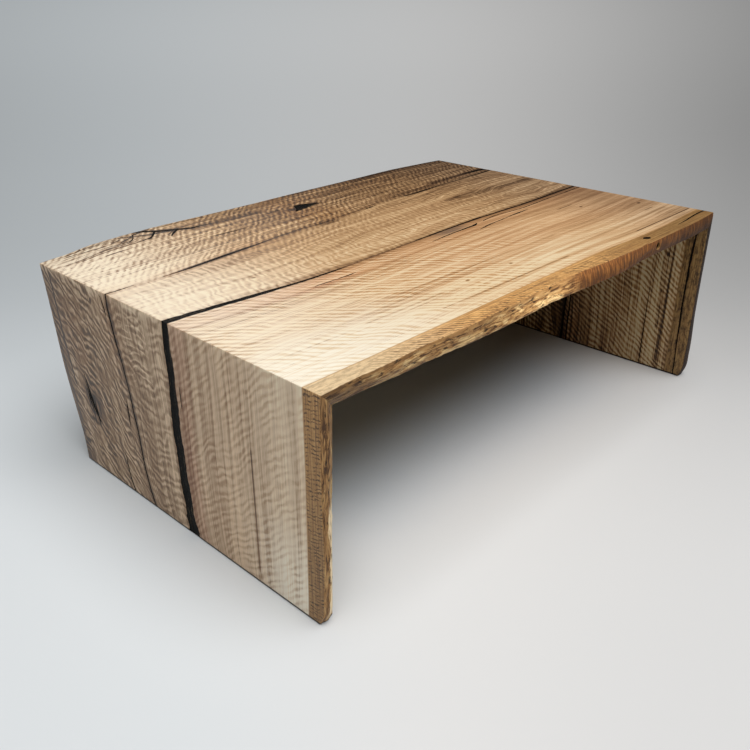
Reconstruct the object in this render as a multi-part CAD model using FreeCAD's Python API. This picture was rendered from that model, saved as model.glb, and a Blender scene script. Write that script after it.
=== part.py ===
import FreeCAD, Part
import os

# Live edge waterfall coffee table
#
# One plank of figured hardwood is cut on the mitre at two places and folded into a top and
# two full-width legs, so that its live edges and its dark gum veins run on over both corners.
# Lengths are millimetres. X runs along the grain of the top, Y from the front live edge to
# the rear one, Z up from the floor. The origin is on the floor, below the centre of the table.

V = FreeCAD.Vector

# Overall sizes
LENGTH = 1200.0
DEPTH = 825.0
HEIGHT = 400.0
SLAB_THICKNESS = 28.7

# Live edges: how far the bark side swells out past a straight line between its two arrises
FRONT_BELLY = 2.5
REAR_BELLY = 3.5

# Loose tenons that carry the mitres
TENON_THICKNESS = 8.0
TENON_WIDTH = 24.0
TENON_LENGTH = 26.0
TENON_SIDE_CLEARANCE = 0.1
TENON_END_CLEARANCE = 0.8

# Felt strips that the legs stand on
GLIDE_THICKNESS = 2.0
GLIDE_INSET = 1.5

# Widest place of each resin filled vein, crack or pocket
MAIN_VEIN_WIDTH = 30.0
REAR_VEIN_WIDTH = 7.0
BRANCH_WIDTH = 6.0
CHECK_WIDTH = 5.0
BARK_POCKET_WIDTH = 12.0
REAR_POCKET_WIDTH = 12.0
FRONT_CRACK_WIDTH = 5.0
KNOT_WIDTH = 37.0
BARK_VOID_WIDTH = 21.0
FRONT_KNOT_WIDTH = 14.0

# The knot hole that opens on the front live edge
EDGE_HOLE_LENGTH = 18.0
EDGE_HOLE_HEIGHT = 14.0
EDGE_HOLE_DEPTH = 14.0

# Every cut starts and ends this far outside what it cuts
OVERRUN = 5.0

# Depth of the fillings, as shares of the slab's thickness
VEIN_DEPTH_SHARE = 0.60
BRANCH_DEPTH_SHARE = 0.40
CHECK_DEPTH_SHARE = 0.25
POCKET_DEPTH_SHARE = 0.55
VEIN_FLOOR_SHARE = 0.45

# Where the tenons sit: down the mitre from its outer corner, and across the slab's depth
TENON_SEAT_SHARE = 0.62
TENON_ACROSS_SHARES = (-0.39, -0.22, 0.035, 0.215, 0.37)

# Levels of the lines that a live edge is shaped to, from outside the show face to past the inner
EDGE_LEVEL_SHARES = (-0.2, 0.3, 0.7, 1.2)

# Live edges of the top, from the left mitre to the right one.
# Each row: place along the length, outer arris and inner arris across the depth.
TOP_FRONT_EDGE_SHARES = (
    (-0.500, -0.4852, -0.4749),
    (-0.450, -0.4828, -0.4761),
    (-0.400, -0.4840, -0.4804),
    (-0.330, -0.4804, -0.4822),
    (-0.250, -0.4840, -0.4882),
    (-0.150, -0.4816, -0.4901),
    (-0.050, -0.4773, -0.4870),
    (0.050, -0.4767, -0.4943),
    (0.150, -0.4868, -0.5007),
    (0.250, -0.4901, -0.4935),
    (0.350, -0.4919, -0.4955),
    (0.430, -0.4913, -0.4973),
    (0.500, -0.4862, -0.4937),
)
TOP_REAR_EDGE_SHARES = (
    (-0.500, 0.4372, 0.4336),
    (-0.450, 0.4536, 0.4500),
    (-0.400, 0.4760, 0.4715),
    (-0.330, 0.4899, 0.4855),
    (-0.250, 0.4942, 0.4895),
    (-0.150, 0.4918, 0.4885),
    (-0.050, 0.4918, 0.4875),
    (0.050, 0.4954, 0.4905),
    (0.150, 0.4954, 0.4915),
    (0.250, 0.4964, 0.4915),
    (0.350, 0.4976, 0.4924),
    (0.430, 0.4881, 0.4845),
    (0.500, 0.4768, 0.4732),
)

# Live edges of the legs, from the foot up to the mitre, in the same form
LEFT_FRONT_EDGE_SHARES = (
    (0.00, -0.4622, -0.4604),
    (0.05, -0.4731, -0.4616),
    (0.15, -0.4773, -0.4628),
    (0.30, -0.4812, -0.4648),
    (0.60, -0.4800, -0.4692),
    (1.00, -0.4852, -0.4749),
)
LEFT_REAR_EDGE_SHARES = (
    (0.00, 0.3657, 0.3621),
    (0.13, 0.3700, 0.3664),
    (0.30, 0.3881, 0.3840),
    (0.50, 0.4085, 0.4040),
    (0.75, 0.4215, 0.4175),
    (1.00, 0.4372, 0.4336),
)
RIGHT_FRONT_EDGE_SHARES = (
    (0.00, -0.4816, -0.4828),
    (0.05, -0.4899, -0.4913),
    (0.15, -0.4917, -0.4937),
    (0.40, -0.4875, -0.4940),
    (1.00, -0.4862, -0.4937),
)
RIGHT_REAR_EDGE_SHARES = (
    (0.00, 0.4500, 0.4465),
    (0.30, 0.4555, 0.4515),
    (0.65, 0.4628, 0.4590),
    (1.00, 0.4768, 0.4732),
)

# Veins, cracks and checks. Each row: place along the grain, place across the depth,
# and width as a share of that vein's widest place.
MAIN_VEIN_TOP_SHARES = (
    (-0.500, -0.0572, 0.57),
    (-0.470, -0.0590, 0.50),
    (-0.420, -0.0643, 0.42),
    (-0.385, -0.0688, 0.45),
    (-0.344, -0.0731, 0.40),
    (-0.319, -0.0757, 0.29),
    (-0.268, -0.0800, 0.22),
    (-0.217, -0.0817, 0.16),
    (-0.167, -0.0788, 0.10),
    (-0.100, -0.0750, 0.09),
    (-0.040, -0.0693, 0.12),
    (0.036, -0.0642, 0.15),
    (0.112, -0.0597, 0.15),
    (0.163, -0.0558, 0.20),
    (0.213, -0.0592, 0.11),
    (0.290, -0.0634, 0.11),
    (0.340, -0.0610, 0.15),
    (0.430, -0.0578, 0.17),
    (0.500, -0.0558, 0.17),
)
MAIN_VEIN_LEFT_SHARES = (
    (0.000, -0.0753, 1.00),
    (0.038, -0.0736, 0.93),
    (0.083, -0.0675, 0.87),
    (0.148, -0.0663, 0.80),
    (0.243, -0.0611, 0.80),
    (0.330, -0.0593, 0.77),
    (0.418, -0.0567, 0.80),
    (0.500, -0.0542, 0.77),
    (0.650, -0.0572, 0.70),
    (0.733, -0.0588, 0.63),
    (0.823, -0.0581, 0.70),
    (0.900, -0.0555, 0.60),
    (1.000, -0.0572, 0.57),
)
MAIN_VEIN_RIGHT_SHARES = (
    (0.00, -0.0860, 0.17),
    (0.30, -0.0800, 0.18),
    (0.55, -0.0700, 0.16),
    (0.80, -0.0600, 0.17),
    (1.00, -0.0558, 0.17),
)
REAR_VEIN_EDGE_SHARES = (
    (-0.5000, 0.1540, 0.55),
    (-0.4767, 0.1552, 0.50),
    (-0.4525, 0.1585, 0.20),
)
REAR_VEIN_TOP_SHARES = (
    (-0.4042, 0.1585, 0.15),
    (-0.3692, 0.1611, 0.45),
    (-0.3283, 0.1686, 0.70),
    (-0.3008, 0.1744, 1.00),
    (-0.2483, 0.1830, 0.55),
    (-0.1933, 0.1928, 0.20),
)
REAR_VEIN_LEFT_SHARES = (
    (0.000, 0.0693, 0.60),
    (0.080, 0.0845, 0.55),
    (0.173, 0.0930, 0.50),
    (0.263, 0.0990, 0.50),
    (0.360, 0.1015, 0.55),
    (0.448, 0.1087, 0.65),
    (0.538, 0.1130, 0.50),
    (0.608, 0.1196, 0.45),
    (0.690, 0.1269, 0.50),
    (0.788, 0.1402, 0.65),
    (0.870, 0.1475, 0.75),
    (0.940, 0.1545, 0.70),
    (1.000, 0.1540, 0.55),
)
LEFT_SHORT_VEIN_SHARES = (
    ((0.000, 0.1535, 0.80), (0.045, 0.1610, 0.80), (0.100, 0.1680, 0.75), (0.156, 0.1718, 0.60),
     (0.218, 0.1754, 0.20)),
    ((0.375, 0.1305, 0.25), (0.450, 0.1324, 1.00), (0.523, 0.1330, 0.20)),
    ((0.880, 0.1640, 0.25), (0.935, 0.1700, 0.80), (0.985, 0.1810, 0.25)),
    ((0.635, -0.0820, 0.20), (0.690, -0.0822, 0.60), (0.740, -0.0815, 0.20)),
)
TOP_BRANCH_SHARES = (
    ((0.002, -0.1015, 0.25), (0.053, -0.0945, 0.65), (0.105, -0.0915, 0.80), (0.132, -0.0885, 1.00),
     (0.139, -0.0845, 0.50)),
    ((0.158, -0.0834, 0.25), (0.177, -0.0778, 0.45), (0.217, -0.0757, 0.40), (0.257, -0.0832, 0.45),
     (0.303, -0.0844, 0.50), (0.350, -0.0795, 0.50), (0.431, -0.0762, 0.45),
     (0.500, -0.0730, 0.50)),
    ((0.113, -0.1235, 0.15), (0.135, -0.1180, 0.55), (0.177, -0.1115, 0.40), (0.217, -0.1070, 0.45),
     (0.260, -0.1040, 0.75), (0.281, -0.1025, 0.15)),
)
RIGHT_BRANCH_SHARES = (
    (0.00, -0.1050, 0.50),
    (0.30, -0.1010, 0.65),
    (0.55, -0.0900, 0.65),
    (0.80, -0.0790, 0.60),
    (1.00, -0.0730, 0.50),
)
RIGHT_INNER_CHECK_SHARES = (
    ((0.000, -0.0855, 1.00), (0.070, -0.0859, 1.00), (0.300, -0.0892, 0.90), (0.600, -0.0860, 0.70),
     (0.860, -0.0830, 0.20)),
    ((0.000, -0.1040, 0.80), (0.080, -0.1035, 0.90), (0.305, -0.1046, 0.80), (0.600, -0.1010, 0.50),
     (0.800, -0.0990, 0.20)),
)
RIGHT_THIN_CRACK_SHARES = (
    (0.00, -0.3585, 0.45),
    (0.20, -0.3579, 0.50),
    (0.35, -0.3570, 0.40),
    (0.51, -0.3579, 0.20),
)
BARK_POCKET_SHARES = (
    (-0.3100, 0.4870, 0.70),
    (-0.2950, 0.4750, 0.90),
    (-0.2810, 0.4575, 1.00),
    (-0.2550, 0.4380, 1.00),
    (-0.2290, 0.4190, 0.85),
    (-0.2080, 0.4170, 0.30),
    (-0.1900, 0.4160, 0.10),
)
BARK_BRANCH_SHARES = (
    ((-0.3967, 0.3990, 0.10), (-0.3667, 0.4073, 0.20), (-0.3400, 0.4100, 0.22),
     (-0.3200, 0.4165, 0.35), (-0.3067, 0.4220, 0.60), (-0.2967, 0.4360, 0.60),
     (-0.2850, 0.4560, 0.60)),
    ((-0.4100, 0.4218, 0.10), (-0.3800, 0.4270, 0.15), (-0.3600, 0.4291, 0.20),
     (-0.3417, 0.4325, 0.35), (-0.3333, 0.4436, 0.45), (-0.3240, 0.4650, 0.45),
     (-0.3200, 0.4790, 0.30)),
    ((-0.2790, 0.3945, 0.30), (-0.2690, 0.4110, 0.55), (-0.2480, 0.4345, 0.70)),
)
TOP_CHECK_SHARES = (
    ((-0.239, 0.3208, 0.20), (-0.222, 0.3202, 0.60), (-0.191, 0.3184, 0.80),
     (-0.160, 0.3172, 0.25)),
    ((0.066, 0.2202, 0.25), (0.085, 0.2235, 1.00), (0.103, 0.2263, 0.25)),
    ((0.192, 0.2324, 0.25), (0.238, 0.2360, 1.00), (0.285, 0.2415, 0.80), (0.328, 0.2481, 0.25)),
    ((-0.282, -0.1228, 0.20), (-0.265, -0.1225, 0.55), (-0.235, -0.1242, 0.40),
     (-0.205, -0.1235, 0.55), (-0.194, -0.1222, 0.20)),
)
REAR_POCKET_TOP_SHARES = (
    ((0.426, 0.2845, 0.15), (0.458, 0.2835, 0.85), (0.500, 0.2808, 1.00)),
    ((0.382, 0.2505, 0.15), (0.440, 0.2540, 0.40), (0.500, 0.2578, 0.35)),
)
REAR_POCKET_RIGHT_SHARES = (
    ((0.84, 0.2790, 0.15), (0.92, 0.2800, 0.60), (1.00, 0.2808, 1.00)),
    ((0.78, 0.2560, 0.10), (0.90, 0.2570, 0.25), (1.00, 0.2578, 0.35)),
)
FRONT_CRACK_TOP_SHARES = (
    (0.378, -0.4682, 0.25),
    (0.428, -0.4634, 0.80),
    (0.471, -0.4585, 0.90),
    (0.500, -0.4592, 0.90),
)
FRONT_CRACK_OUTER_SHARES = (
    (0.60, -0.4630, 0.20),
    (0.75, -0.4620, 0.50),
    (0.90, -0.4600, 0.80),
    (1.00, -0.4592, 0.90),
)
FRONT_CRACK_INNER_SHARES = (
    (0.000, -0.4670, 0.60),
    (0.208, -0.4632, 0.60),
    (0.323, -0.4619, 0.70),
    (0.419, -0.4600, 0.80),
    (0.630, -0.4602, 1.00),
    (0.765, -0.4616, 1.00),
    (0.930, -0.4645, 0.80),
)

# Open knots, in the same form as the veins
KNOT_SHARES = (
    (-0.0295, 0.3425, 0.08),
    (-0.0210, 0.3475, 0.33),
    (-0.0145, 0.3555, 0.62),
    (-0.0092, 0.3650, 0.95),
    (0.0000, 0.3690, 1.00),
    (0.0100, 0.3693, 0.86),
    (0.0225, 0.3673, 0.58),
    (0.0333, 0.3642, 0.32),
    (0.0442, 0.3608, 0.06),
)
BARK_VOID_SHARES = (
    (0.275, 0.2590, 0.10),
    (0.293, 0.2675, 0.45),
    (0.315, 0.2754, 0.70),
    (0.345, 0.2863, 0.95),
    (0.380, 0.2930, 1.00),
    (0.425, 0.2996, 0.80),
    (0.475, 0.3069, 0.45),
    (0.520, 0.3110, 0.10),
)
FRONT_KNOT_SHARES = (
    (0.2570, -0.4620, 0.15),
    (0.2610, -0.4625, 0.70),
    (0.2655, -0.4635, 1.00),
    (0.2700, -0.4645, 0.75),
    (0.2740, -0.4660, 0.15),
)
EDGE_HOLE_ALONG_SHARE = 0.27
EDGE_HOLE_DOWN_SHARE = 0.46


# Places on the three boards: s along the grain, y across the depth, w in from the face

def on_top(s, y, w):
    return V(s, y, HEIGHT - w)


def on_left_leg(s, y, w):
    return V(-LENGTH / 2 + w, y, s)


def on_right_leg(s, y, w):
    return V(LENGTH / 2 - w, y, s)


def inside_right_leg(s, y, w):
    return on_right_leg(s, y, SLAB_THICKNESS - w)


def grain_length(place):
    """The size that places along this board's grain are shares of."""
    return LENGTH if place is on_top else HEIGHT


# The boards

def spline(points):
    curve = Part.BSplineCurve()
    curve.interpolate(points)
    return curve.toShape()


def prism_across(corners):
    """Plate with this outline in the XZ plane, wider than the plank on both sides."""
    start = -DEPTH / 2 - OVERRUN
    points = [V(x, start, z) for x, z in corners]
    face = Part.Face(Part.makePolygon(points + points[:1]))
    return face.extrude(V(0, DEPTH + 2 * OVERRUN, 0))


def live_edge_waste(place, mitres, edge_shares, side, belly):
    """What the bark side leaves outside one live edge, as a solid to cut away.

    The edge runs through the plank's two arrises and swells out between them, in bands as a
    drawknife leaves it. Its lines shorten towards the inner face, so that every line ends on
    the mitre plane, and the edges of two boards meet there.
    """
    length = grain_length(place)
    past_end = OVERRUN / length
    first = (edge_shares[0][0] - past_end, edge_shares[0][1], edge_shares[0][2])
    last = (edge_shares[-1][0] + past_end, edge_shares[-1][1], edge_shares[-1][2])
    outlines = []
    for level in EDGE_LEVEL_SHARES:
        w = level * SLAB_THICKNESS
        swell = side * belly * 4 * level * (1 - level)
        line = []
        for along, outer, inner in (first,) + edge_shares + (last,):
            across = DEPTH * (outer + (inner - outer) * level) + swell
            line.append(place(along * (length - mitres * w), across, w))
        far_first = V(line[0].x, side * DEPTH, line[0].z)
        far_last = V(line[-1].x, side * DEPTH, line[-1].z)
        outlines.append(Part.Wire([
            spline(line),
            Part.makeLine(line[-1], far_last),
            Part.makeLine(far_last, far_first),
            Part.makeLine(far_first, line[0]),
        ]))
    return Part.makeLoft(outlines, True, True)


def trim_live_edges(plate, place, mitres, front_shares, rear_shares):
    front = live_edge_waste(place, mitres, front_shares, -1, FRONT_BELLY)
    rear = live_edge_waste(place, mitres, rear_shares, 1, REAR_BELLY)
    return plate.cut(front).cut(rear)


def top_board():
    """The top, mitred down and in at both ends."""
    end = LENGTH / 2
    inner_end = end - SLAB_THICKNESS
    underside = HEIGHT - SLAB_THICKNESS
    plate = prism_across([(-end, HEIGHT), (end, HEIGHT), (inner_end, underside), (-inner_end, underside)])
    return trim_live_edges(plate, on_top, 2, TOP_FRONT_EDGE_SHARES, TOP_REAR_EDGE_SHARES)


def leg_board(side, place, front_shares, rear_shares):
    """One leg, from the top of its felt strip to the mitre. Side is -1 left, 1 right."""
    outer = side * LENGTH / 2
    inner = side * (LENGTH / 2 - SLAB_THICKNESS)
    corners = [
        (outer, GLIDE_THICKNESS),
        (outer, HEIGHT),
        (inner, HEIGHT - SLAB_THICKNESS),
        (inner, GLIDE_THICKNESS),
    ]
    return trim_live_edges(prism_across(corners), place, 1, front_shares, rear_shares)


# The fillings

def vein(place, shares, widest, depth_share, past_start=False, past_end=False, floor=VEIN_FLOOR_SHARE):
    """Wedge along a crack: its full width at the face, narrower at its floor.

    An end that reaches a mitre runs on past it, to be trimmed by the board.
    """
    length = grain_length(place)
    path = [(along * length, across * DEPTH, wide * widest) for along, across, wide in shares]
    if past_start:
        path = [(path[0][0] - OVERRUN, path[0][1], path[0][2])] + path
    if past_end:
        path = path + [(path[-1][0] + OVERRUN, path[-1][1], path[-1][2])]
    depth = depth_share * SLAB_THICKNESS
    mouth_spread = 1 + (1 - floor) * OVERRUN / depth
    outlines = []
    for level, spread in ((-OVERRUN, mouth_spread), (depth, floor)):
        near = [place(s, y - spread * wide / 2, level) for s, y, wide in path]
        far = [place(s, y + spread * wide / 2, level) for s, y, wide in path]
        sides = [
            spline(near),
            Part.makeLine(near[-1], far[-1]),
            spline(far[::-1]),
            Part.makeLine(far[0], near[0]),
        ]
        outlines.append(Part.Wire(sides))
    return Part.makeLoft(outlines, True, True)


def open_knot(place, shares, widest):
    """Filling of an open knot or bark void: a short wide vein with upright walls."""
    return vein(place, shares, widest, POCKET_DEPTH_SHARE, floor=1)


def edge_hole():
    """Oval plug that goes in from the front live edge."""
    x = EDGE_HOLE_ALONG_SHARE * LENGTH
    y = -DEPTH / 2 - OVERRUN
    z = HEIGHT - EDGE_HOLE_DOWN_SHARE * SLAB_THICKNESS
    rim = Part.Ellipse(V(x + EDGE_HOLE_LENGTH / 2, y, z), V(x, y, z + EDGE_HOLE_HEIGHT / 2), V(x, y, z))
    face = Part.Face(Part.Wire([rim.toShape()]))
    return face.extrude(V(0, OVERRUN + EDGE_HOLE_DEPTH, 0))


def joined(fillings):
    whole = fillings[0]
    if len(fillings) > 1:
        whole = whole.fuse(list(fillings[1:]))
    return whole


def top_fillings():
    """Every filling of the top, by the name of its node."""
    main = vein(on_top, MAIN_VEIN_TOP_SHARES, MAIN_VEIN_WIDTH, VEIN_DEPTH_SHARE, True, True)
    branches = []
    for shares in TOP_BRANCH_SHARES:
        reaches_mitre = shares[-1][0] == MAIN_VEIN_TOP_SHARES[-1][0]
        branches.append(vein(on_top, shares, BRANCH_WIDTH, BRANCH_DEPTH_SHARE, False, reaches_mitre))
    rear = [
        vein(on_top, REAR_VEIN_EDGE_SHARES, REAR_VEIN_WIDTH, BRANCH_DEPTH_SHARE, True),
        vein(on_top, REAR_VEIN_TOP_SHARES, REAR_VEIN_WIDTH, BRANCH_DEPTH_SHARE),
    ]
    bark = [vein(on_top, BARK_POCKET_SHARES, BARK_POCKET_WIDTH, POCKET_DEPTH_SHARE)]
    for shares in BARK_BRANCH_SHARES:
        bark.append(vein(on_top, shares, BARK_POCKET_WIDTH, BRANCH_DEPTH_SHARE))
    checks = [vein(on_top, shares, CHECK_WIDTH, CHECK_DEPTH_SHARE) for shares in TOP_CHECK_SHARES]
    pockets = []
    for shares in REAR_POCKET_TOP_SHARES:
        pockets.append(vein(on_top, shares, REAR_POCKET_WIDTH, BRANCH_DEPTH_SHARE, False, True))
    crack = vein(on_top, FRONT_CRACK_TOP_SHARES, FRONT_CRACK_WIDTH, BRANCH_DEPTH_SHARE, False, True)
    front_knot = open_knot(on_top, FRONT_KNOT_SHARES, FRONT_KNOT_WIDTH)
    return {
        "main_vein_resin_top": main,
        "side_branch_resin_top": joined(branches),
        "rear_vein_resin_top": joined(rear),
        "bark_pocket_resin_top": joined(bark),
        "short_check_resin_top": joined(checks),
        "rear_pocket_resin_top": joined(pockets),
        "knot_resin_top": open_knot(on_top, KNOT_SHARES, KNOT_WIDTH),
        "front_crack_resin_top": joined([crack, front_knot, edge_hole()]),
    }


def left_leg_fillings():
    main = vein(on_left_leg, MAIN_VEIN_LEFT_SHARES, MAIN_VEIN_WIDTH, VEIN_DEPTH_SHARE, False, True)
    rear = vein(on_left_leg, REAR_VEIN_LEFT_SHARES, REAR_VEIN_WIDTH, BRANCH_DEPTH_SHARE, False, True)
    short = [vein(on_left_leg, shares, CHECK_WIDTH, CHECK_DEPTH_SHARE) for shares in LEFT_SHORT_VEIN_SHARES]
    return {
        "main_vein_resin_left_leg": main,
        "rear_vein_resin_left_leg": rear,
        "short_vein_resin_left_leg": joined(short),
        "bark_void_resin_left_leg": open_knot(on_left_leg, BARK_VOID_SHARES, BARK_VOID_WIDTH),
    }


def right_leg_fillings():
    main = vein(on_right_leg, MAIN_VEIN_RIGHT_SHARES, MAIN_VEIN_WIDTH, VEIN_DEPTH_SHARE, False, True)
    branch = vein(on_right_leg, RIGHT_BRANCH_SHARES, BRANCH_WIDTH, BRANCH_DEPTH_SHARE, False, True)
    pockets = []
    for shares in REAR_POCKET_RIGHT_SHARES:
        pockets.append(vein(on_right_leg, shares, REAR_POCKET_WIDTH, BRANCH_DEPTH_SHARE, False, True))
    wide = FRONT_CRACK_WIDTH
    crack = [
        vein(on_right_leg, FRONT_CRACK_OUTER_SHARES, wide, CHECK_DEPTH_SHARE, False, True),
        vein(inside_right_leg, FRONT_CRACK_INNER_SHARES, wide, BRANCH_DEPTH_SHARE, False, True),
    ]
    inner = [
        vein(inside_right_leg, shares, CHECK_WIDTH, CHECK_DEPTH_SHARE)
        for shares in RIGHT_INNER_CHECK_SHARES
    ]
    thin = vein(inside_right_leg, RIGHT_THIN_CRACK_SHARES, CHECK_WIDTH, CHECK_DEPTH_SHARE)
    return {
        "main_vein_resin_right_leg": main,
        "side_branch_resin_right_leg": branch,
        "rear_pocket_resin_right_leg": joined(pockets),
        "front_crack_resin_right_leg": joined(crack),
        "inner_check_resin_right_leg": joined(inner),
        "thin_crack_resin_right_leg": thin,
    }


# The mitre joints

def oblong_bar(side, across, thickness, width, length):
    """Bar with round edges, square to the mitre plane and centred on it."""
    radius = thickness / 2
    flat = width / 2 - radius
    outline = Part.Wire([
        Part.makeLine(V(-flat, -radius, 0), V(flat, -radius, 0)),
        Part.Arc(V(flat, -radius, 0), V(flat + radius, 0, 0), V(flat, radius, 0)).toShape(),
        Part.makeLine(V(flat, radius, 0), V(-flat, radius, 0)),
        Part.Arc(V(-flat, radius, 0), V(-flat - radius, 0, 0), V(-flat, -radius, 0)).toShape(),
    ])
    bar = Part.Face(outline).extrude(V(0, 0, length))
    bar.translate(V(0, 0, -length / 2))
    down = TENON_SEAT_SHARE * SLAB_THICKNESS
    seat = V(side * (LENGTH / 2 - down), across, HEIGHT - down)
    turn = FreeCAD.Rotation(V(0, 1, 0), V(), V(-side, 0, 1), "ZXY")
    bar.Placement = FreeCAD.Placement(seat, turn).multiply(bar.Placement)
    return bar


def mitre_tenons(side):
    bars = []
    for share in TENON_ACROSS_SHARES:
        bars.append(oblong_bar(side, share * DEPTH, TENON_THICKNESS, TENON_WIDTH, TENON_LENGTH))
    return bars


def mitre_mortises(side):
    around = 2 * TENON_SIDE_CLEARANCE
    thickness = TENON_THICKNESS + around
    width = TENON_WIDTH + around
    length = TENON_LENGTH + 2 * TENON_END_CLEARANCE
    return [oblong_bar(side, share * DEPTH, thickness, width, length) for share in TENON_ACROSS_SHARES]


# The felt strips

def glide_strip(side, front_shares, rear_shares):
    """Felt strip under a leg, set in from the foot's faces and live edges all round."""
    front = DEPTH * max(front_shares[0][1:]) + GLIDE_INSET
    rear = DEPTH * min(rear_shares[0][1:]) - GLIDE_INSET
    width = SLAB_THICKNESS - 2 * GLIDE_INSET
    centre = side * (LENGTH - SLAB_THICKNESS) / 2
    return Part.makeBox(width, rear - front, GLIDE_THICKNESS, V(centre - width / 2, front, 0))


# The assembly

def filled_board(board, fillings, mortises):
    """The board with its voids and mortises cut, and the resin that fills the voids."""
    resin = {node: board.common(filling) for node, filling in fillings.items()}
    slab = board.cut(list(fillings.values()) + mortises)
    return slab, resin


def build():
    left_mortises = mitre_mortises(-1)
    right_mortises = mitre_mortises(1)
    left_board = leg_board(-1, on_left_leg, LEFT_FRONT_EDGE_SHARES, LEFT_REAR_EDGE_SHARES)
    right_board = leg_board(1, on_right_leg, RIGHT_FRONT_EDGE_SHARES, RIGHT_REAR_EDGE_SHARES)
    top, top_resin = filled_board(top_board(), top_fillings(), left_mortises + right_mortises)
    left, left_resin = filled_board(left_board, left_leg_fillings(), left_mortises)
    right, right_resin = filled_board(right_board, right_leg_fillings(), right_mortises)
    nodes = {
        "top_slab": top,
        "left_leg_slab": left,
        "right_leg_slab": right,
        "left_mitre_tenons": Part.makeCompound(mitre_tenons(-1)),
        "right_mitre_tenons": Part.makeCompound(mitre_tenons(1)),
        "left_glide_strip": glide_strip(-1, LEFT_FRONT_EDGE_SHARES, LEFT_REAR_EDGE_SHARES),
        "right_glide_strip": glide_strip(1, RIGHT_FRONT_EDGE_SHARES, RIGHT_REAR_EDGE_SHARES),
    }
    nodes.update(top_resin)
    nodes.update(left_resin)
    nodes.update(right_resin)
    return nodes


def save(nodes):
    os.makedirs("parts", exist_ok=True)
    for node, shape in nodes.items():
        solids = shape.Solids
        whole = solids[0] if len(solids) == 1 else Part.makeCompound(solids)
        whole.exportStep("parts/" + node + ".step")
        box = whole.optimalBoundingBox(False)
        print(
            f"{node:30s} solids {len(solids)} valid {whole.isValid()} volume {whole.Volume:11.1f}",
            f"x {box.XMin:8.2f} {box.XMax:8.2f} y {box.YMin:8.2f} {box.YMax:8.2f}",
            f"z {box.ZMin:7.2f} {box.ZMax:7.2f}",
        )


save(build())
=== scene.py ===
import math

import bpy
import numpy as np
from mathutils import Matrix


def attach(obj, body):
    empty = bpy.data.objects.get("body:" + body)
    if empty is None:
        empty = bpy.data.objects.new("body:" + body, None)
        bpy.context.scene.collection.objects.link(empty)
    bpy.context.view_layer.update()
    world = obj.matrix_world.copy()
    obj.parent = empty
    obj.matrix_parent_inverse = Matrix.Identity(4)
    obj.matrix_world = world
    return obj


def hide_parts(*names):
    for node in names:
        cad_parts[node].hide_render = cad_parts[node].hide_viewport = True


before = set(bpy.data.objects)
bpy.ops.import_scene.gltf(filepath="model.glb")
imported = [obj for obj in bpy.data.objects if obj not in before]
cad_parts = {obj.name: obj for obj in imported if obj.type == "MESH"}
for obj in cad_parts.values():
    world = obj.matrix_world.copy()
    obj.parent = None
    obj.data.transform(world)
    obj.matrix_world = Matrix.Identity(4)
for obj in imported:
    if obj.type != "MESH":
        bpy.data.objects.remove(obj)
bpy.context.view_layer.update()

bl_info = {
    "name": "Live edge waterfall table",
    "version": (1, 0, 0),
    "blender": (4, 5, 0),
    "location": "3D View > Sidebar > Waterfall",
    "description": "Folded hardwood plank table with live edges and resin filled veins",
    "category": "Object",
}

# The table's own sizes in metres, as the solids have them
LENGTH = 1.200
DEPTH = 0.825
HEIGHT = 0.400
THICKNESS = 0.0287
FOOT = 0.002
FOLD = LENGTH / 2
REACH = FOLD + HEIGHT

# Live edges. Each row: share along the board, outer arris and inner arris as shares of the depth.
TOP_FRONT = ((-0.5, -0.4852, -0.4749), (-0.45, -0.4828, -0.4761), (-0.4, -0.484, -0.4804),
             (-0.33, -0.4804, -0.4822), (-0.25, -0.484, -0.4882), (-0.15, -0.4816, -0.4901),
             (-0.05, -0.4773, -0.487), (0.05, -0.4767, -0.4943), (0.15, -0.4868, -0.5007),
             (0.25, -0.4901, -0.4935), (0.35, -0.4919, -0.4955), (0.43, -0.4913, -0.4973),
             (0.5, -0.4862, -0.4937))
TOP_REAR = ((-0.5, 0.4372, 0.4336), (-0.45, 0.4536, 0.45), (-0.4, 0.476, 0.4715), (-0.33, 0.4899, 0.4855),
            (-0.25, 0.4942, 0.4895), (-0.15, 0.4918, 0.4885), (-0.05, 0.4918, 0.4875), (0.05, 0.4954, 0.4905),
            (0.15, 0.4954, 0.4915), (0.25, 0.4964, 0.4915), (0.35, 0.4976, 0.4924), (0.43, 0.4881, 0.4845),
            (0.5, 0.4768, 0.4732))
LEFT_FRONT = ((0.0, -0.4622, -0.4604), (0.05, -0.4731, -0.4616), (0.15, -0.4773, -0.4628),
              (0.3, -0.4812, -0.4648), (0.6, -0.48, -0.4692), (1.0, -0.4852, -0.4749))
LEFT_REAR = ((0.0, 0.3657, 0.3621), (0.13, 0.37, 0.3664), (0.3, 0.3881, 0.384), (0.5, 0.4085, 0.404),
             (0.75, 0.4215, 0.4175), (1.0, 0.4372, 0.4336))
RIGHT_FRONT = ((0.0, -0.4816, -0.4828), (0.05, -0.4899, -0.4913), (0.15, -0.4917, -0.4937),
               (0.4, -0.4875, -0.494), (1.0, -0.4862, -0.4937))
RIGHT_REAR = ((0.0, 0.45, 0.4465), (0.3, 0.4555, 0.4515), (0.65, 0.4628, 0.459), (1.0, 0.4768, 0.4732))

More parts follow.
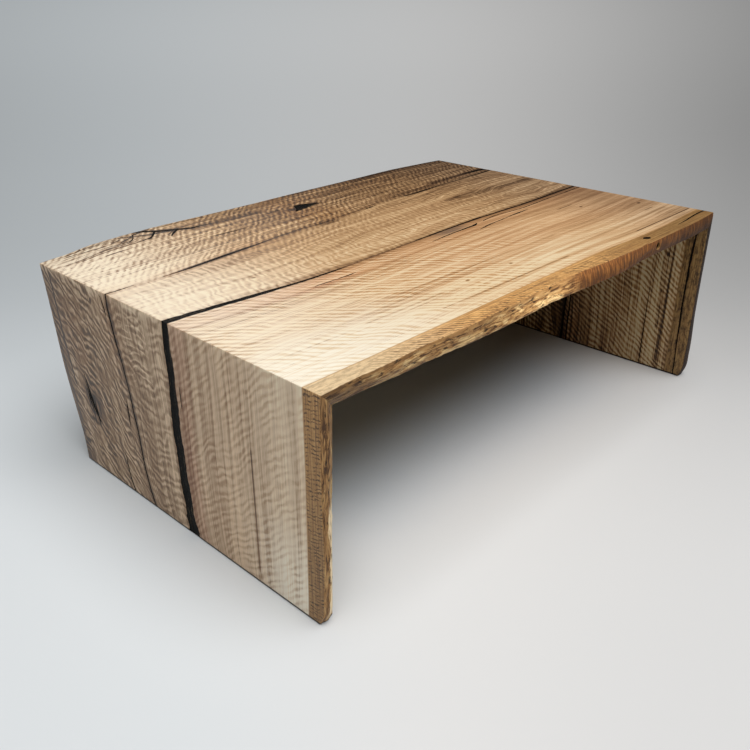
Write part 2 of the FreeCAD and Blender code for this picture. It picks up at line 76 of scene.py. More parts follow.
# Veins, cracks and checks. Each row: share along the board, share of the depth, width in metres.
MAIN_VEIN_TOP = ((-0.5, -0.0572, 0.0165), (-0.47, -0.059, 0.0145), (-0.42, -0.0643, 0.0122),
                 (-0.385, -0.0688, 0.0131), (-0.344, -0.0731, 0.0116), (-0.319, -0.0757, 0.0084),
                 (-0.268, -0.08, 0.0064), (-0.217, -0.0817, 0.0046), (-0.167, -0.0788, 0.0029),
                 (-0.1, -0.075, 0.0026), (-0.04, -0.0693, 0.0035), (0.036, -0.0642, 0.0043),
                 (0.112, -0.0597, 0.0043), (0.163, -0.0558, 0.0058), (0.213, -0.0592, 0.0032),
                 (0.29, -0.0634, 0.0032), (0.34, -0.061, 0.0043), (0.43, -0.0578, 0.0049),
                 (0.5, -0.0558, 0.0049))
MAIN_VEIN_LEFT = ((0.0, -0.0753, 0.03), (0.038, -0.0736, 0.028), (0.083, -0.0675, 0.026),
                  (0.148, -0.0663, 0.024), (0.243, -0.0611, 0.024), (0.33, -0.0593, 0.023),
                  (0.418, -0.0567, 0.024), (0.5, -0.0542, 0.023), (0.65, -0.0572, 0.021),
                  (0.733, -0.0588, 0.019), (0.823, -0.0581, 0.021), (0.9, -0.0555, 0.018),
                  (1.0, -0.0572, 0.0165))
MAIN_VEIN_RIGHT = ((0.0, -0.086, 0.005), (0.3, -0.08, 0.0054), (0.55, -0.07, 0.0048), (0.8, -0.06, 0.0052),
                   (1.0, -0.0558, 0.0052))
REAR_VEIN_EDGE = ((-0.5, 0.154, 0.0038), (-0.4767, 0.1552, 0.0034), (-0.4525, 0.1585, 0.0012))
REAR_VEIN_TOP = ((-0.4042, 0.1585, 0.001), (-0.3692, 0.1611, 0.003), (-0.3283, 0.1686, 0.0048),
                 (-0.3008, 0.1744, 0.007), (-0.2483, 0.183, 0.0038), (-0.1933, 0.1928, 0.0014))
REAR_VEIN_LEFT = ((0.0, 0.0693, 0.0042), (0.08, 0.0845, 0.0038), (0.173, 0.093, 0.0034), (0.263, 0.099, 0.0034),
                  (0.36, 0.1015, 0.0038), (0.448, 0.1087, 0.0046), (0.538, 0.113, 0.0034),
                  (0.608, 0.1196, 0.003), (0.69, 0.1269, 0.0034), (0.788, 0.1402, 0.0046),
                  (0.87, 0.1475, 0.0052), (0.94, 0.1545, 0.0048), (1.0, 0.154, 0.0038))
LEFT_SHORT_VEINS = (
    ((0.0, 0.1535, 0.004), (0.045, 0.161, 0.004), (0.1, 0.168, 0.0038), (0.156, 0.1718, 0.003),
     (0.218, 0.1754, 0.001)),
    ((0.375, 0.1305, 0.0012), (0.45, 0.1324, 0.005), (0.523, 0.133, 0.001)),
    ((0.88, 0.164, 0.0012), (0.935, 0.17, 0.004), (0.985, 0.181, 0.0012)),
    ((0.635, -0.082, 0.001), (0.69, -0.0822, 0.003), (0.74, -0.0815, 0.001)),
)
TOP_BRANCHES = (
    ((0.002, -0.1015, 0.0015), (0.053, -0.0945, 0.0039), (0.105, -0.0915, 0.0048), (0.132, -0.0885, 0.006),
     (0.139, -0.0845, 0.003)),
    ((0.158, -0.0834, 0.0015), (0.177, -0.0778, 0.0027), (0.217, -0.0757, 0.0024), (0.257, -0.0832, 0.0027),
     (0.303, -0.0844, 0.003), (0.35, -0.0795, 0.003), (0.431, -0.0762, 0.0027), (0.5, -0.073, 0.003)),
    ((0.113, -0.1235, 0.0009), (0.135, -0.118, 0.0033), (0.177, -0.1115, 0.0024), (0.217, -0.107, 0.0027),
     (0.26, -0.104, 0.0045), (0.281, -0.1025, 0.0009)),
)
RIGHT_BRANCH = ((0.0, -0.105, 0.003), (0.3, -0.101, 0.0039), (0.55, -0.09, 0.0039), (0.8, -0.079, 0.0036),
                (1.0, -0.073, 0.003))
RIGHT_INNER_CHECKS = (
    ((0.0, -0.0855, 0.005), (0.07, -0.0859, 0.005), (0.3, -0.0892, 0.0045), (0.6, -0.086, 0.0035),
     (0.86, -0.083, 0.001)),
    ((0.0, -0.104, 0.004), (0.08, -0.1035, 0.0045), (0.305, -0.1046, 0.004), (0.6, -0.101, 0.0025),
     (0.8, -0.099, 0.001)),
)
RIGHT_THIN_CRACK = ((0.0, -0.3585, 0.0022), (0.2, -0.3579, 0.0025), (0.35, -0.357, 0.002),
                    (0.51, -0.3579, 0.001))
BARK_POCKET = ((-0.31, 0.487, 0.0084), (-0.295, 0.475, 0.0108), (-0.281, 0.4575, 0.012), (-0.255, 0.438, 0.012),
               (-0.229, 0.419, 0.0102), (-0.208, 0.417, 0.0036), (-0.19, 0.416, 0.0012))
BARK_BRANCHES = (
    ((-0.3967, 0.399, 0.0012), (-0.3667, 0.4073, 0.0024), (-0.34, 0.41, 0.0026), (-0.32, 0.4165, 0.0042),
     (-0.3067, 0.422, 0.0072), (-0.2967, 0.436, 0.0072), (-0.285, 0.456, 0.0072)),
    ((-0.41, 0.4218, 0.0012), (-0.38, 0.427, 0.0018), (-0.36, 0.4291, 0.0024), (-0.3417, 0.4325, 0.0042),
     (-0.3333, 0.4436, 0.0054), (-0.324, 0.465, 0.0054), (-0.32, 0.479, 0.0036)),
    ((-0.279, 0.3945, 0.0036), (-0.269, 0.411, 0.0066), (-0.248, 0.4345, 0.0084)),
)
TOP_CHECKS = (
    ((-0.239, 0.3208, 0.001), (-0.222, 0.3202, 0.003), (-0.191, 0.3184, 0.004), (-0.16, 0.3172, 0.0013)),
    ((0.066, 0.2202, 0.0013), (0.085, 0.2235, 0.005), (0.103, 0.2263, 0.0013)),
    ((0.192, 0.2324, 0.0013), (0.238, 0.236, 0.005), (0.285, 0.2415, 0.004), (0.328, 0.2481, 0.0013)),
    ((-0.282, -0.1228, 0.001), (-0.265, -0.1225, 0.0028), (-0.235, -0.1242, 0.002), (-0.205, -0.1235, 0.0028),
     (-0.194, -0.1222, 0.001)),
)
REAR_POCKETS_TOP = (
    ((0.426, 0.2845, 0.0018), (0.458, 0.2835, 0.0102), (0.5, 0.2808, 0.012)),
    ((0.382, 0.2505, 0.0018), (0.44, 0.254, 0.0048), (0.5, 0.2578, 0.0042)),
)
REAR_POCKETS_RIGHT = (
    ((0.84, 0.279, 0.0018), (0.92, 0.28, 0.0072), (1.0, 0.2808, 0.012)),
    ((0.78, 0.256, 0.0012), (0.9, 0.257, 0.003), (1.0, 0.2578, 0.0042)),
)
FRONT_CRACK_TOP = ((0.378, -0.4682, 0.0012), (0.428, -0.4634, 0.004), (0.471, -0.4585, 0.0045),
                   (0.5, -0.4592, 0.0045))
FRONT_CRACK_OUTER = ((0.6, -0.463, 0.001), (0.75, -0.462, 0.0025), (0.9, -0.46, 0.004), (1.0, -0.4592, 0.0045))
FRONT_CRACK_INNER = ((0.0, -0.467, 0.003), (0.208, -0.4632, 0.003), (0.323, -0.4619, 0.0035),
                     (0.419, -0.46, 0.004), (0.63, -0.4602, 0.005), (0.765, -0.4616, 0.005),
                     (0.93, -0.4645, 0.004))
KNOT = ((-0.0295, 0.3425, 0.003), (-0.021, 0.3475, 0.0122), (-0.0145, 0.3555, 0.0229), (-0.0092, 0.365, 0.0351),
        (0.0, 0.369, 0.037), (0.01, 0.3693, 0.0318), (0.0225, 0.3673, 0.0215), (0.0333, 0.3642, 0.0118),
        (0.0442, 0.3608, 0.0022))
BARK_VOID_STRANDS = (
    ((0.29, 0.264, 0.002), (0.345, 0.283, 0.01), (0.385, 0.2905, 0.011), (0.44, 0.299, 0.006),
     (0.515, 0.311, 0.002)),
    ((0.33, 0.29, 0.0012), (0.385, 0.301, 0.0052), (0.43, 0.306, 0.004), (0.48, 0.3125, 0.0012)),
    ((0.28, 0.269, 0.0012), (0.32, 0.274, 0.0058), (0.355, 0.2775, 0.005), (0.395, 0.283, 0.0014)),
)
FRONT_KNOT = ((0.257, -0.462, 0.0021), (0.261, -0.4625, 0.0098), (0.2655, -0.4635, 0.014),
              (0.27, -0.4645, 0.0105), (0.274, -0.466, 0.0021))

# Depth of the fillings as shares of the thickness
VEIN_DEPTH_SHARE = 0.60
BRANCH_DEPTH_SHARE = 0.40
CHECK_DEPTH_SHARE = 0.25
POCKET_DEPTH_SHARE = 0.55

# Width of a vein's floor as a share of its width at the show face; a knot's walls stand upright
FLOOR_SHARE = 0.45
UPRIGHT = 1.0

# In metres: distance between a vein's stations, how far it runs past the end of its board before
# it is trimmed, half its width where it is thinnest, before and after its sides are torn, and how
# high above the show face its cutter starts
VEIN_STATION = 0.0022
OVERRUN = 0.006
LEAST_HALF_WIDTH = 0.0003
LEAST_TORN_HALF = 0.00025
CUTTER_RISE = 0.004

# The uneven round hole of the knot in the front edge: place along the grain and depth of its
# centre, half its sizes that way, all in metres, how uneven it is, and the places across of its
# rings and of its resin's rings, before they reach its floor
HOLE_CENTRE = (0.324, 0.46 * THICKNESS)
HOLE_HALF_SIZES = (0.0086, 0.0072)
HOLE_UNEVENNESS = 0.16
HOLE_RINGS = (-0.425, -0.412, -0.406, -0.401)
HOLE_RESIN_RINGS = (-0.4035, -0.402, -0.4005)

# Mortises: halves of width, thickness and length in metres, how deep they sit in the mitre as a
# share of the thickness, and their places across as shares of the depth
MORTISE_HALF_SIZES = (0.0121, 0.0041, 0.0138)
MORTISE_SEAT_SHARE = 0.62
MORTISE_PLACES = (-0.39, -0.22, 0.035, 0.215, 0.37)


# Numbers on grids

def smooth_line(x, rows, column, scale=1.0):
    """Smooth line through one column of a table, whose first column times the scale holds the
    places: a cubic between each two neighbours, whose slope at a point is that of the parabola
    through it and the points beside it; level past the ends."""
    xs, ys = np.array(rows)[:, 0] * scale, np.array(rows)[:, column]
    step = np.diff(xs)
    rise = np.diff(ys) / step
    slope = np.empty_like(ys)
    slope[1:-1] = (rise[:-1] * step[1:] + rise[1:] * step[:-1]) / (step[:-1] + step[1:])
    slope[0], slope[-1] = rise[0], rise[-1]
    i = np.clip(np.searchsorted(xs, x) - 1, 0, len(step) - 1)
    t = np.clip((x - xs[i]) / step[i], 0, 1)
    near = (1 + 2 * t) * (1 - t) ** 2 * ys[i] + t * (1 - t) ** 2 * step[i] * slope[i]
    far = t * t * (3 - 2 * t) * ys[i + 1] + t * t * (t - 1) * step[i] * slope[i + 1]
    return near + far


def uneven(u, v, seed, layers=1):
    """Smooth random height between -1 and 1: random values at whole numbers of u and v, blended
    between them by a cubic; each further layer is twice as fine and half as high."""
    total, weight = 0.0, 0.0
    for layer in range(layers):
        table = np.random.default_rng(seed + layer).random((256, 256))
        a, b = np.broadcast_arrays(u * 2 ** layer, v * 2 ** layer)
        ia, ib = np.floor(a).astype(int), np.floor(b).astype(int)
        fa, fb = a - ia, b - ib
        fa, fb = fa * fa * (3 - 2 * fa), fb * fb * (3 - 2 * fb)
        ia, ib, ja, jb = ia % 256, ib % 256, (ia + 1) % 256, (ib + 1) % 256
        low = table[ia, ib] * (1 - fa) + table[ja, ib] * fa
        high = table[ia, jb] * (1 - fa) + table[ja, jb] * fa
        total = total + (low * (1 - fb) + high * fb) * 0.5 ** layer
        weight += 0.5 ** layer
    return 2 * total / weight - 1


def ease(x, start, end):
    """Rises from 0 at start to 1 at end along a cubic that is level at both."""
    t = np.clip((x - start) / (end - start), 0, 1)
    return t * t * (3 - 2 * t)


# The three boards: s along the grain, y across the depth, w in from the show face

class Board:
    """One length of the plank, and how its grain frame lies in the table."""

    def __init__(self, piece, start, end, mitres, front, rear, place, unfold, mirrored):
        self.piece = piece
        self.start, self.end = start, end
        self.mitres = mitres
        self.front, self.rear = front, rear
        self.place, self.unfold = place, unfold
        self.mirrored = mirrored

    def scale(self):
        return LENGTH if self.mitres == 2 else HEIGHT


def on_top(s, y, w):
    return np.stack([s, y, HEIGHT - w], -1)


def on_left_leg(s, y, w):
    return np.stack([w - FOLD, y, s], -1)


def on_right_leg(s, y, w):
    return np.stack([FOLD - w, y, s], -1)


def inside_right_leg(s, y, w):
    return on_right_leg(s, y, THICKNESS - w)


TOP = Board("top_board", -FOLD, FOLD, 2, TOP_FRONT, TOP_REAR, on_top, lambda s: s, False)
LEFT = Board("left_leg_board", FOOT, HEIGHT, 1, LEFT_FRONT, LEFT_REAR, on_left_leg,
             lambda s: s - REACH, False)
RIGHT = Board("right_leg_board", FOOT, HEIGHT, 1, RIGHT_FRONT, RIGHT_REAR, on_right_leg,
              lambda s: REACH - s, True)


def ring_faces(rings):
    """The numbers of the points of rings, and the faces between each ring and the next."""
    index = np.arange(rings.shape[0] * rings.shape[1]).reshape(rings.shape[:2])
    after = np.roll(index, -1, axis=1)
    return index, np.stack([index[:-1], index[1:], after[1:], after[:-1]], -1).reshape(-1, 4)


def new_mesh(name, rings, sides, caps):
    mesh = bpy.data.meshes.new(name)
    mesh.from_pydata(rings.reshape(-1, 3).tolist(), [], sides.tolist() + [cap.tolist() for cap in caps])
    mesh.update()
    return mesh


def tube_mesh(name, rings, mirrored=False):
    """Closed skin over a grid of points: each row is a ring of the same number of points, the
    last point joins the first, and one flat face closes each end."""
    index, sides = ring_faces(rings)
    caps = [index[0], index[-1][::-1]]
    if mirrored:
        sides = sides[:, ::-1]
        caps = [cap[::-1] for cap in caps]
    return new_mesh(name, rings, sides, caps)


def add_object(name, mesh):
    thing = bpy.data.objects.new(name, mesh)
    bpy.context.scene.collection.objects.link(thing)
    return thing


def combine(body, tools, operation):
    """Joins, cuts or trims the body's mesh with each tool in turn, and deletes the tools."""
    for tool in tools:
        change = body.modifiers.new(tool.name, "BOOLEAN")
        change.operation = operation
        change.solver = "MANIFOLD"
        change.object = tool
    ready = body.evaluated_get(bpy.context.evaluated_depsgraph_get())
    mesh = bpy.data.meshes.new_from_object(ready)
    body.modifiers.clear()
    replace_mesh(body, mesh)
    for tool in tools:
        used = tool.data
        bpy.data.objects.remove(tool)
        bpy.data.meshes.remove(used)
    return body


def replace_mesh(body, mesh):
    old = body.data
    mesh.name = body.name
    body.data = mesh
    bpy.data.meshes.remove(old)


def dress(thing, material):
    thing.data.materials.clear()
    thing.data.materials.append(material)


def finish_off(body, material, degrees):
    """One material all over, and smooth shading except over edges sharper than the angle."""
    dress(body, material)
    body.data.polygons.foreach_set("material_index", np.zeros(len(body.data.polygons), np.int32))
    body.data.shade_smooth()
    body.data.set_sharp_from_angle(angle=math.radians(degrees))


def edge_levels(arris, count):
    """Levels down an edge, from the show face to the inner face: a quarter circle over each
    arris and even steps between. Returns each level's depth and how far the arris cuts in."""
    turn = np.linspace(0, math.pi / 2, 4)
    depth = arris * (1 - np.cos(turn))
    cut = arris * (1 - np.sin(turn))
    middle = np.linspace(arris, THICKNESS - arris, count)[1:-1]
    levels = np.concatenate([depth, middle, THICKNESS - depth[::-1]])
    return levels, np.concatenate([cut, 0 * middle, cut[::-1]])


def torn_bark(grain, down, side, relief):
    """How far the weathered edge lies back: slow waves along the grain, torn flakes where the
    bark came away, and fine fibres, each a smooth random height scaled to its own depth."""
    if side < 0:
        torn = 1 - (0.85 * ease(grain, -0.02, 0.10)
                    * (1 - ease(grain, 0.24, 0.27) * (1 - ease(grain, 0.29, 0.33))))
        seed = 11
    else:
        torn = 0.35 + 0.65 * ease(grain, -0.60, -0.54) * (1 - ease(grain, -0.38, -0.30))
        seed = 47
    waves = 0.5 + 0.5 * uneven(grain / 0.055, down * 1.3, seed, 2)
    flakes = np.clip(uneven(grain / 0.020 + down * 0.8, down * 4.5, seed + 5, 3) + 0.15, 0, 1)
    fibres = 0.5 + 0.5 * uneven(grain / 0.0045, down * 14, seed + 9, 2)
    return relief * (0.35 * waves + torn * (1.5 * flakes + 0.25 * fibres) + 0.08 * fibres)


def edge_line(board, along, levels, side, settings):
    """One live edge as depth across for each station and level: the line between its outer and
    inner arris, swollen between them, less the arris rounding and the torn bark."""
    rows = board.front if side < 0 else board.rear
    outer, inner = (DEPTH * smooth_line(along / board.scale(), rows, column)[:, None] for column in (1, 2))
    down = (levels[0] / THICKNESS)[None, :]
    grain = board.unfold(along)[:, None]
    share = down
    if side < 0:
        sapwood = 1 - ease(grain, -0.06, 0.04)
        shelf = 0.85 * ease(down, 0.38 + 0.1 * uneven(grain / 0.05, 0.0, 5), 0.95)
        share = down + sapwood * (shelf - 0.85 * down)
    swell = side * (settings.front_swell if side < 0 else settings.rear_swell) * 4 * down * (1 - down)
    back = levels[1][None, :] + torn_bark(grain, down, side, settings.edge_relief)
    return outer + (inner - outer) * share + swell - side * (back + settings.edge_margin)


def board_rings(board, settings):
    """The board as rings along its grain. Each ring runs over the show face, down the rear
    edge, back over the inner face and up the front edge; its points lie at a share of the
    length that shortens with depth, so the last ring lies in the mitre plane."""
    eased = settings.fold_arris
    length = board.end - board.start
    count = int(length / settings.station)
    along = np.linspace(board.start, board.end, count)
    along = np.concatenate([along[:-1], [board.end - 2 * eased, board.end]])
    if board.mitres == 2:
        along = np.concatenate([[board.start, board.start + 2 * eased], along[1:]])
    levels = edge_levels(settings.arris, settings.edge_rows)
    front = edge_line(board, along, levels, -1, settings)
    rear = edge_line(board, along, levels, 1, settings)
    face = np.linspace(0, 1, settings.face_columns)[1:-1][None, :]
    show = front[:, :1] + (rear[:, :1] - front[:, :1]) * face
    inner = rear[:, -1:] + (front[:, -1:] - rear[:, -1:]) * face
    y = np.concatenate([show, rear, inner, front[:, ::-1]], 1)
    zero = np.zeros(face.shape[1])
    w = np.concatenate([zero, levels[0], zero + THICKNESS, levels[0][::-1]])
    w = np.repeat(w[None, :], len(along), 0)
    w[-1] = np.maximum(w[-1], eased)
    if board.mitres == 2:
        w[0] = np.maximum(w[0], eased)
        s = along[:, None] * (FOLD - w) / FOLD
    else:
        s = FOOT + (along[:, None] - FOOT) * (HEIGHT - w - FOOT) / (HEIGHT - FOOT)
    return board.place(s, y, w)


# Fillings

def vein_walls(board, rows, ragged, seed):
    """A vein's two ragged sides: stations along its smooth centre line, half its width to each
    side, each side torn by its own smooth random height. Returns stations, near and far side."""
    scale = board.scale()
    start, end = rows[0][0] * scale, rows[-1][0] * scale
    if start <= board.start + FOOT:
        start -= OVERRUN
    if end >= board.end - 1e-6:
        end += OVERRUN
    along = np.linspace(start, end, max(12, int((end - start) / VEIN_STATION)))
    middle = DEPTH * smooth_line(along, rows, 1, scale)
    half = np.maximum(smooth_line(along, rows, 2, scale) / 2, LEAST_HALF_WIDTH)
    middle = middle + 0.0006 * uneven(along / 0.035, 0.0, seed, 2)
    sides = []
    for turn in (1, 2):
        torn = (0.55 * uneven(along / 0.021, 0.0, seed + 10 * turn, 3)
                + 0.3 * uneven(along / 0.006, 3.0, seed + 20 * turn, 2))
        side = half * (1 + ragged * torn) + 0.0005 * ragged * uneven(along / 0.004, 7.0, seed + 30 * turn)
        sides.append(np.maximum(side, LEAST_TORN_HALF))
    return along, middle - sides[0], middle + sides[1]


def vein_rings(place, walls, depth, floor, top):
    """Wedge between a vein's two sides: full width at the show face and a share of it at its
    floor. Top holds the level of each point across its upper face, from near to far side."""
    along, near, far = walls
    middle = (near + far) / 2
    across = np.linspace(0, 1, top.shape[1])[None, :]
    upper_y = near[:, None] + (far - near)[:, None] * across
    floor_far, floor_near = middle + floor * (far - middle), middle + floor * (near - middle)
    columns = [(upper_y, top)]
    if top[0, 0] < 0:
        columns.append((far[:, None], 0.0))
    columns += [(floor_far[:, None], depth), (floor_near[:, None], depth)]
    if top[0, 0] < 0:
        columns.append((near[:, None], 0.0))
    y = np.concatenate([across for across, level in columns], 1)
    w = np.concatenate([level + 0 * across for across, level in columns], 1)
    return place(along[:, None] + 0 * y, y, w)


def poured_top(walls, sink, dish, seed):
    """Upper face of the cured resin: a little below the wood at its sides, hollowed across by a
    parabola whose depth swells and shrinks along the vein."""
    along, near, far = walls
    across = np.linspace(-1, 1, 7)[None, :]
    width = (far - near)[:, None]
    hollow = np.minimum(dish, 0.05 * width) * (1 - across ** 2)
    hollow = hollow * (1 + 0.6 * uneven(along[:, None] / 0.03, across * 0.7, seed, 2))
    return sink + hollow


def hole_rings(stations):
    """Rings of the uneven oval hole that goes in from the front edge: an ellipse in the plane of
    the grain and the thickness, its radius varied by a smooth random height."""
    turn = np.linspace(0, 2 * math.pi, 28, endpoint=False)[None, :]
    y = np.asarray(stations)[:, None]
    round_s, round_w = 2.2 + 2 * np.cos(turn) + 0 * y, 2.2 + 2 * np.sin(turn) + y / 0.01
    radius = 1 + HOLE_UNEVENNESS * uneven(round_s, round_w, 5, 2)
    s = HOLE_CENTRE[0] + HOLE_HALF_SIZES[0] * radius * np.cos(turn)
    w = HOLE_CENTRE[1] + HOLE_HALF_SIZES[1] * radius * np.sin(turn)
    return on_top(s, y + 0 * turn, w)


# Each filling's board, its name in the scene, the solids' node it stands for, its veins, its depth
# as a share of the thickness, and how ragged its sides are
FILLINGS = (
    (TOP, "resin_main_vein_top", "main_vein_resin_top", (MAIN_VEIN_TOP,), VEIN_DEPTH_SHARE, 0.32),
    (TOP, "resin_branches_top", "side_branch_resin_top", TOP_BRANCHES, BRANCH_DEPTH_SHARE, 0.60),
    (TOP, "resin_rear_vein_top", "rear_vein_resin_top", (REAR_VEIN_EDGE, REAR_VEIN_TOP),
     BRANCH_DEPTH_SHARE, 0.60),
    (TOP, "resin_bark_pocket_top", "bark_pocket_resin_top", (BARK_POCKET,) + BARK_BRANCHES,
     POCKET_DEPTH_SHARE, 0.70),
    (TOP, "resin_checks_top", "short_check_resin_top", TOP_CHECKS, CHECK_DEPTH_SHARE, 0.60),
    (TOP, "resin_rear_pockets_top", "rear_pocket_resin_top", REAR_POCKETS_TOP, BRANCH_DEPTH_SHARE, 0.60),
    (TOP, "resin_knot_top", "knot_resin_top", (KNOT,), POCKET_DEPTH_SHARE, 0.30),
    (TOP, "resin_front_crack_top", "front_crack_resin_top", (FRONT_CRACK_TOP, FRONT_KNOT),
     BRANCH_DEPTH_SHARE, 0.55),
    (LEFT, "resin_main_vein_left", "main_vein_resin_left_leg", (MAIN_VEIN_LEFT,), VEIN_DEPTH_SHARE, 0.32),
    (LEFT, "resin_rear_vein_left", "rear_vein_resin_left_leg", (REAR_VEIN_LEFT,), BRANCH_DEPTH_SHARE, 0.60),
    (LEFT, "resin_short_veins_left", "short_vein_resin_left_leg", LEFT_SHORT_VEINS, CHECK_DEPTH_SHARE, 0.60),
    (LEFT, "resin_bark_void_left", "bark_void_resin_left_leg", BARK_VOID_STRANDS, POCKET_DEPTH_SHARE, 0.80),
    (RIGHT, "resin_main_vein_right", "main_vein_resin_right_leg", (MAIN_VEIN_RIGHT,), VEIN_DEPTH_SHARE, 0.40),
    (RIGHT, "resin_branch_right", "side_branch_resin_right_leg", (RIGHT_BRANCH,), BRANCH_DEPTH_SHARE, 0.60),
    (RIGHT, "resin_rear_pockets_right", "rear_pocket_resin_right_leg", REAR_POCKETS_RIGHT,
     BRANCH_DEPTH_SHARE, 0.60),
    (RIGHT, "resin_front_crack_right", "front_crack_resin_right_leg", (FRONT_CRACK_OUTER,),
     CHECK_DEPTH_SHARE, 0.55),
    (RIGHT, "resin_inner_checks_right", "inner_check_resin_right_leg", RIGHT_INNER_CHECKS,
     CHECK_DEPTH_SHARE, 0.60),
    (RIGHT, "resin_thin_crack_right", "thin_crack_resin_right_leg", (RIGHT_THIN_CRACK,),
     CHECK_DEPTH_SHARE, 0.60),
)
INNER_FACE_FILLINGS = ("resin_inner_checks_right", "resin_thin_crack_right")
SLAB_NODES = {"top_board": "top_slab", "left_leg_board": "left_leg_slab",
              "right_leg_board": "right_leg_slab"}


# Shader wiring

class Value:
    """An output of a shader node; plus, minus, times and abs() on it make maths nodes."""

    def __init__(self, wiring, socket):
        self.wiring, self.socket = wiring, socket

    def __add__(self, other):
        return self.wiring.math("ADD", self, other)

    def __radd__(self, other):
        return self.wiring.math("ADD", other, self)

    def __sub__(self, other):
        return self.wiring.math("SUBTRACT", self, other)

    def __rsub__(self, other):
        return self.wiring.math("SUBTRACT", other, self)

    def __mul__(self, other):
        return self.wiring.math("MULTIPLY", self, other)

    def __rmul__(self, other):
        return self.wiring.math("MULTIPLY", other, self)

    def __abs__(self):
        return self.wiring.math("ABSOLUTE", self)


class Wiring:
    """Short names for the shader nodes that the finishes use."""

    def __init__(self, tree):
        self.tree = tree

    def put(self, socket, value):
        if isinstance(value, Value):
            self.tree.links.new(value.socket, socket)
        else:
            socket.default_value = value

    def node(self, kind, inputs=(), **choices):
        """Makes a node and returns its outputs. Inputs come in their order, or by number or name."""
        made = self.tree.nodes.new(kind)
        for name, value in choices.items():
            setattr(made, name, value)
        for key, value in inputs.items() if isinstance(inputs, dict) else enumerate(inputs):
            self.put(made.inputs[key], value)
        return self.outputs(made)

    def outputs(self, made):
        return [Value(self, socket) for socket in made.outputs]

    def place(self, kind="ShaderNodeTexCoord", output="Object"):
        """x, y and z of the place in the table, or of another node's vector."""
        made = self.tree.nodes.new("ShaderNodeSeparateXYZ")
        self.tree.links.new(self.tree.nodes.new(kind).outputs[output], made.inputs[0])
        return self.outputs(made)

    def math(self, operation, *values):
        return self.node("ShaderNodeMath", values, operation=operation)[0]

    def muladd(self, a, b, c):
        """a times b plus c."""
        return self.math("MULTIPLY_ADD", a, b, c)

    def most(self, a, b):
        return self.math("MAXIMUM", a, b)

    def sum_of(self, a, share_a, b, share_b):
        """share_a of a plus share_b of b."""
        return self.muladd(a, share_a, b * share_b)

    def texture(self, kind, point, **settings):
        """A texture's outputs at a point, which is measured in its own cells."""
        made = self.tree.nodes.new(kind)
        self.put(made.inputs["Vector"], self.node("ShaderNodeCombineXYZ", point)[0])
        for name, value in settings.items():
            made.inputs[name].default_value = value
        return self.outputs(made)

    def noise(self, x, y, z, detail=2.0, rough=0.5, distortion=0.0):
        return self.texture("ShaderNodeTexNoise", (x, y, z), Scale=1.0, Detail=detail, Roughness=rough,
                            Distortion=distortion)[0]

    def fade(self, value, start, end, low=0.0, high=1.0, way="SMOOTHSTEP"):
        """low up to start, high from end on, and a smooth rise between."""
        return self.node("ShaderNodeMapRange", (value, start, end, low, high), interpolation_type=way)[0]

    def hill(self, value, centre, half):
        """1 at the centre, falling smoothly to 0 at half to each side."""
        return self.fade(abs(value - centre), half, 0.0)

    def between(self, value, low, high, soft):
        """1 between low and high, 0 outside them, with soft flanks."""
        return self.fade(value, low - soft, low + soft) * self.fade(value, high + soft, high - soft)

    def tones(self, value, *stops):
        """Colour ramp through stops of (place, colour)."""
        made = self.tree.nodes.new("ShaderNodeValToRGB")
        marks = made.color_ramp.elements
        while len(marks) < len(stops):
            marks.new(0.5)
        for mark, (place, colour) in zip(marks, stops):
            mark.position = place
            mark.color = (*colour, 1)
        self.put(made.inputs[0], value)
        return Value(self, made.outputs[0])

    def mix(self, share, a, b, way="MIX"):
        a, b = (value if isinstance(value, Value) else (*value, 1) for value in (a, b))
        return self.node("ShaderNodeMix", {0: share, 6: a, 7: b}, data_type="RGBA", blend_type=way)[2]

    def cast(self, share, colour, tint):
        """The colour times a tint, as far as share says."""
        return self.mix(share, colour, tint, "MULTIPLY")

    def shade(self, colour, strength):
        """The colour made darker or lighter by a factor."""
        return self.node("ShaderNodeVectorMath", {0: colour, "Scale": strength}, operation="SCALE")[0]

    def curve(self, value, rows, scale=None, start=0.0):
        """Smooth curve through rows of (place from 0 to 1, value from 0 to 1). The place is the
        value, or the value times a scale plus a start."""
        made = self.tree.nodes.new("ShaderNodeFloatCurve")
        points = made.mapping.curves[0].points
        while len(points) < len(rows):
            points.new(0.5, 0.5)
        for mark, row in zip(points, rows):
            mark.location = row
        made.mapping.update()
        self.put(made.inputs["Value"], self.muladd(value, scale, start) if scale else value)
        return Value(self, made.outputs[0])

    def line(self, s, rows):
        """Place across the depth, in metres, of a line along the whole unfolded plank."""
        rows = [((along + REACH) / (2 * REACH), across / DEPTH + 0.5) for along, across in rows]
        return self.muladd(self.curve(s, rows, 1 / (2 * REACH), 0.5), DEPTH, -DEPTH / 2)

    def ripple(self, s, y, w, way, spacing, stroke, bend, curl=1.0):
        """Waves whose crests run along a direction in the face of the plank: a sine of the
        distance across them, bent by slow and quick noise, that dies away here and there."""
        across = self.sum_of(s, -way[1] / spacing, y, way[0] / spacing)
        along = self.sum_of(s, way[0] / stroke, y, way[1] / stroke)
        quick = self.noise(across * 0.6, along, w * 60.0)
        turn = across + bend + self.muladd(quick, curl, w * 40.0)
        wave = self.math("SINE", turn * (2 * math.pi))
        force = self.noise(across * 0.35, along * 1.1, w * 30.0)
        return self.muladd(wave, self.fade(force, 0.32, 0.60, 0.10, 0.5), 0.5)

    def streak(self, s, y, row):
        """1 on a thin line from one place to another, falling off to its sides and ends."""
        s0, y0, s1, y1, half = row[:5]
        slope = (y1 - y0) / (s1 - s0)
        off = abs(y - y0 - self.muladd(s, slope, -s0 * slope))
        return self.fade(off, half, 0.2 * half) * self.between(s, s0 + 0.008, s1 - 0.008, 0.008)

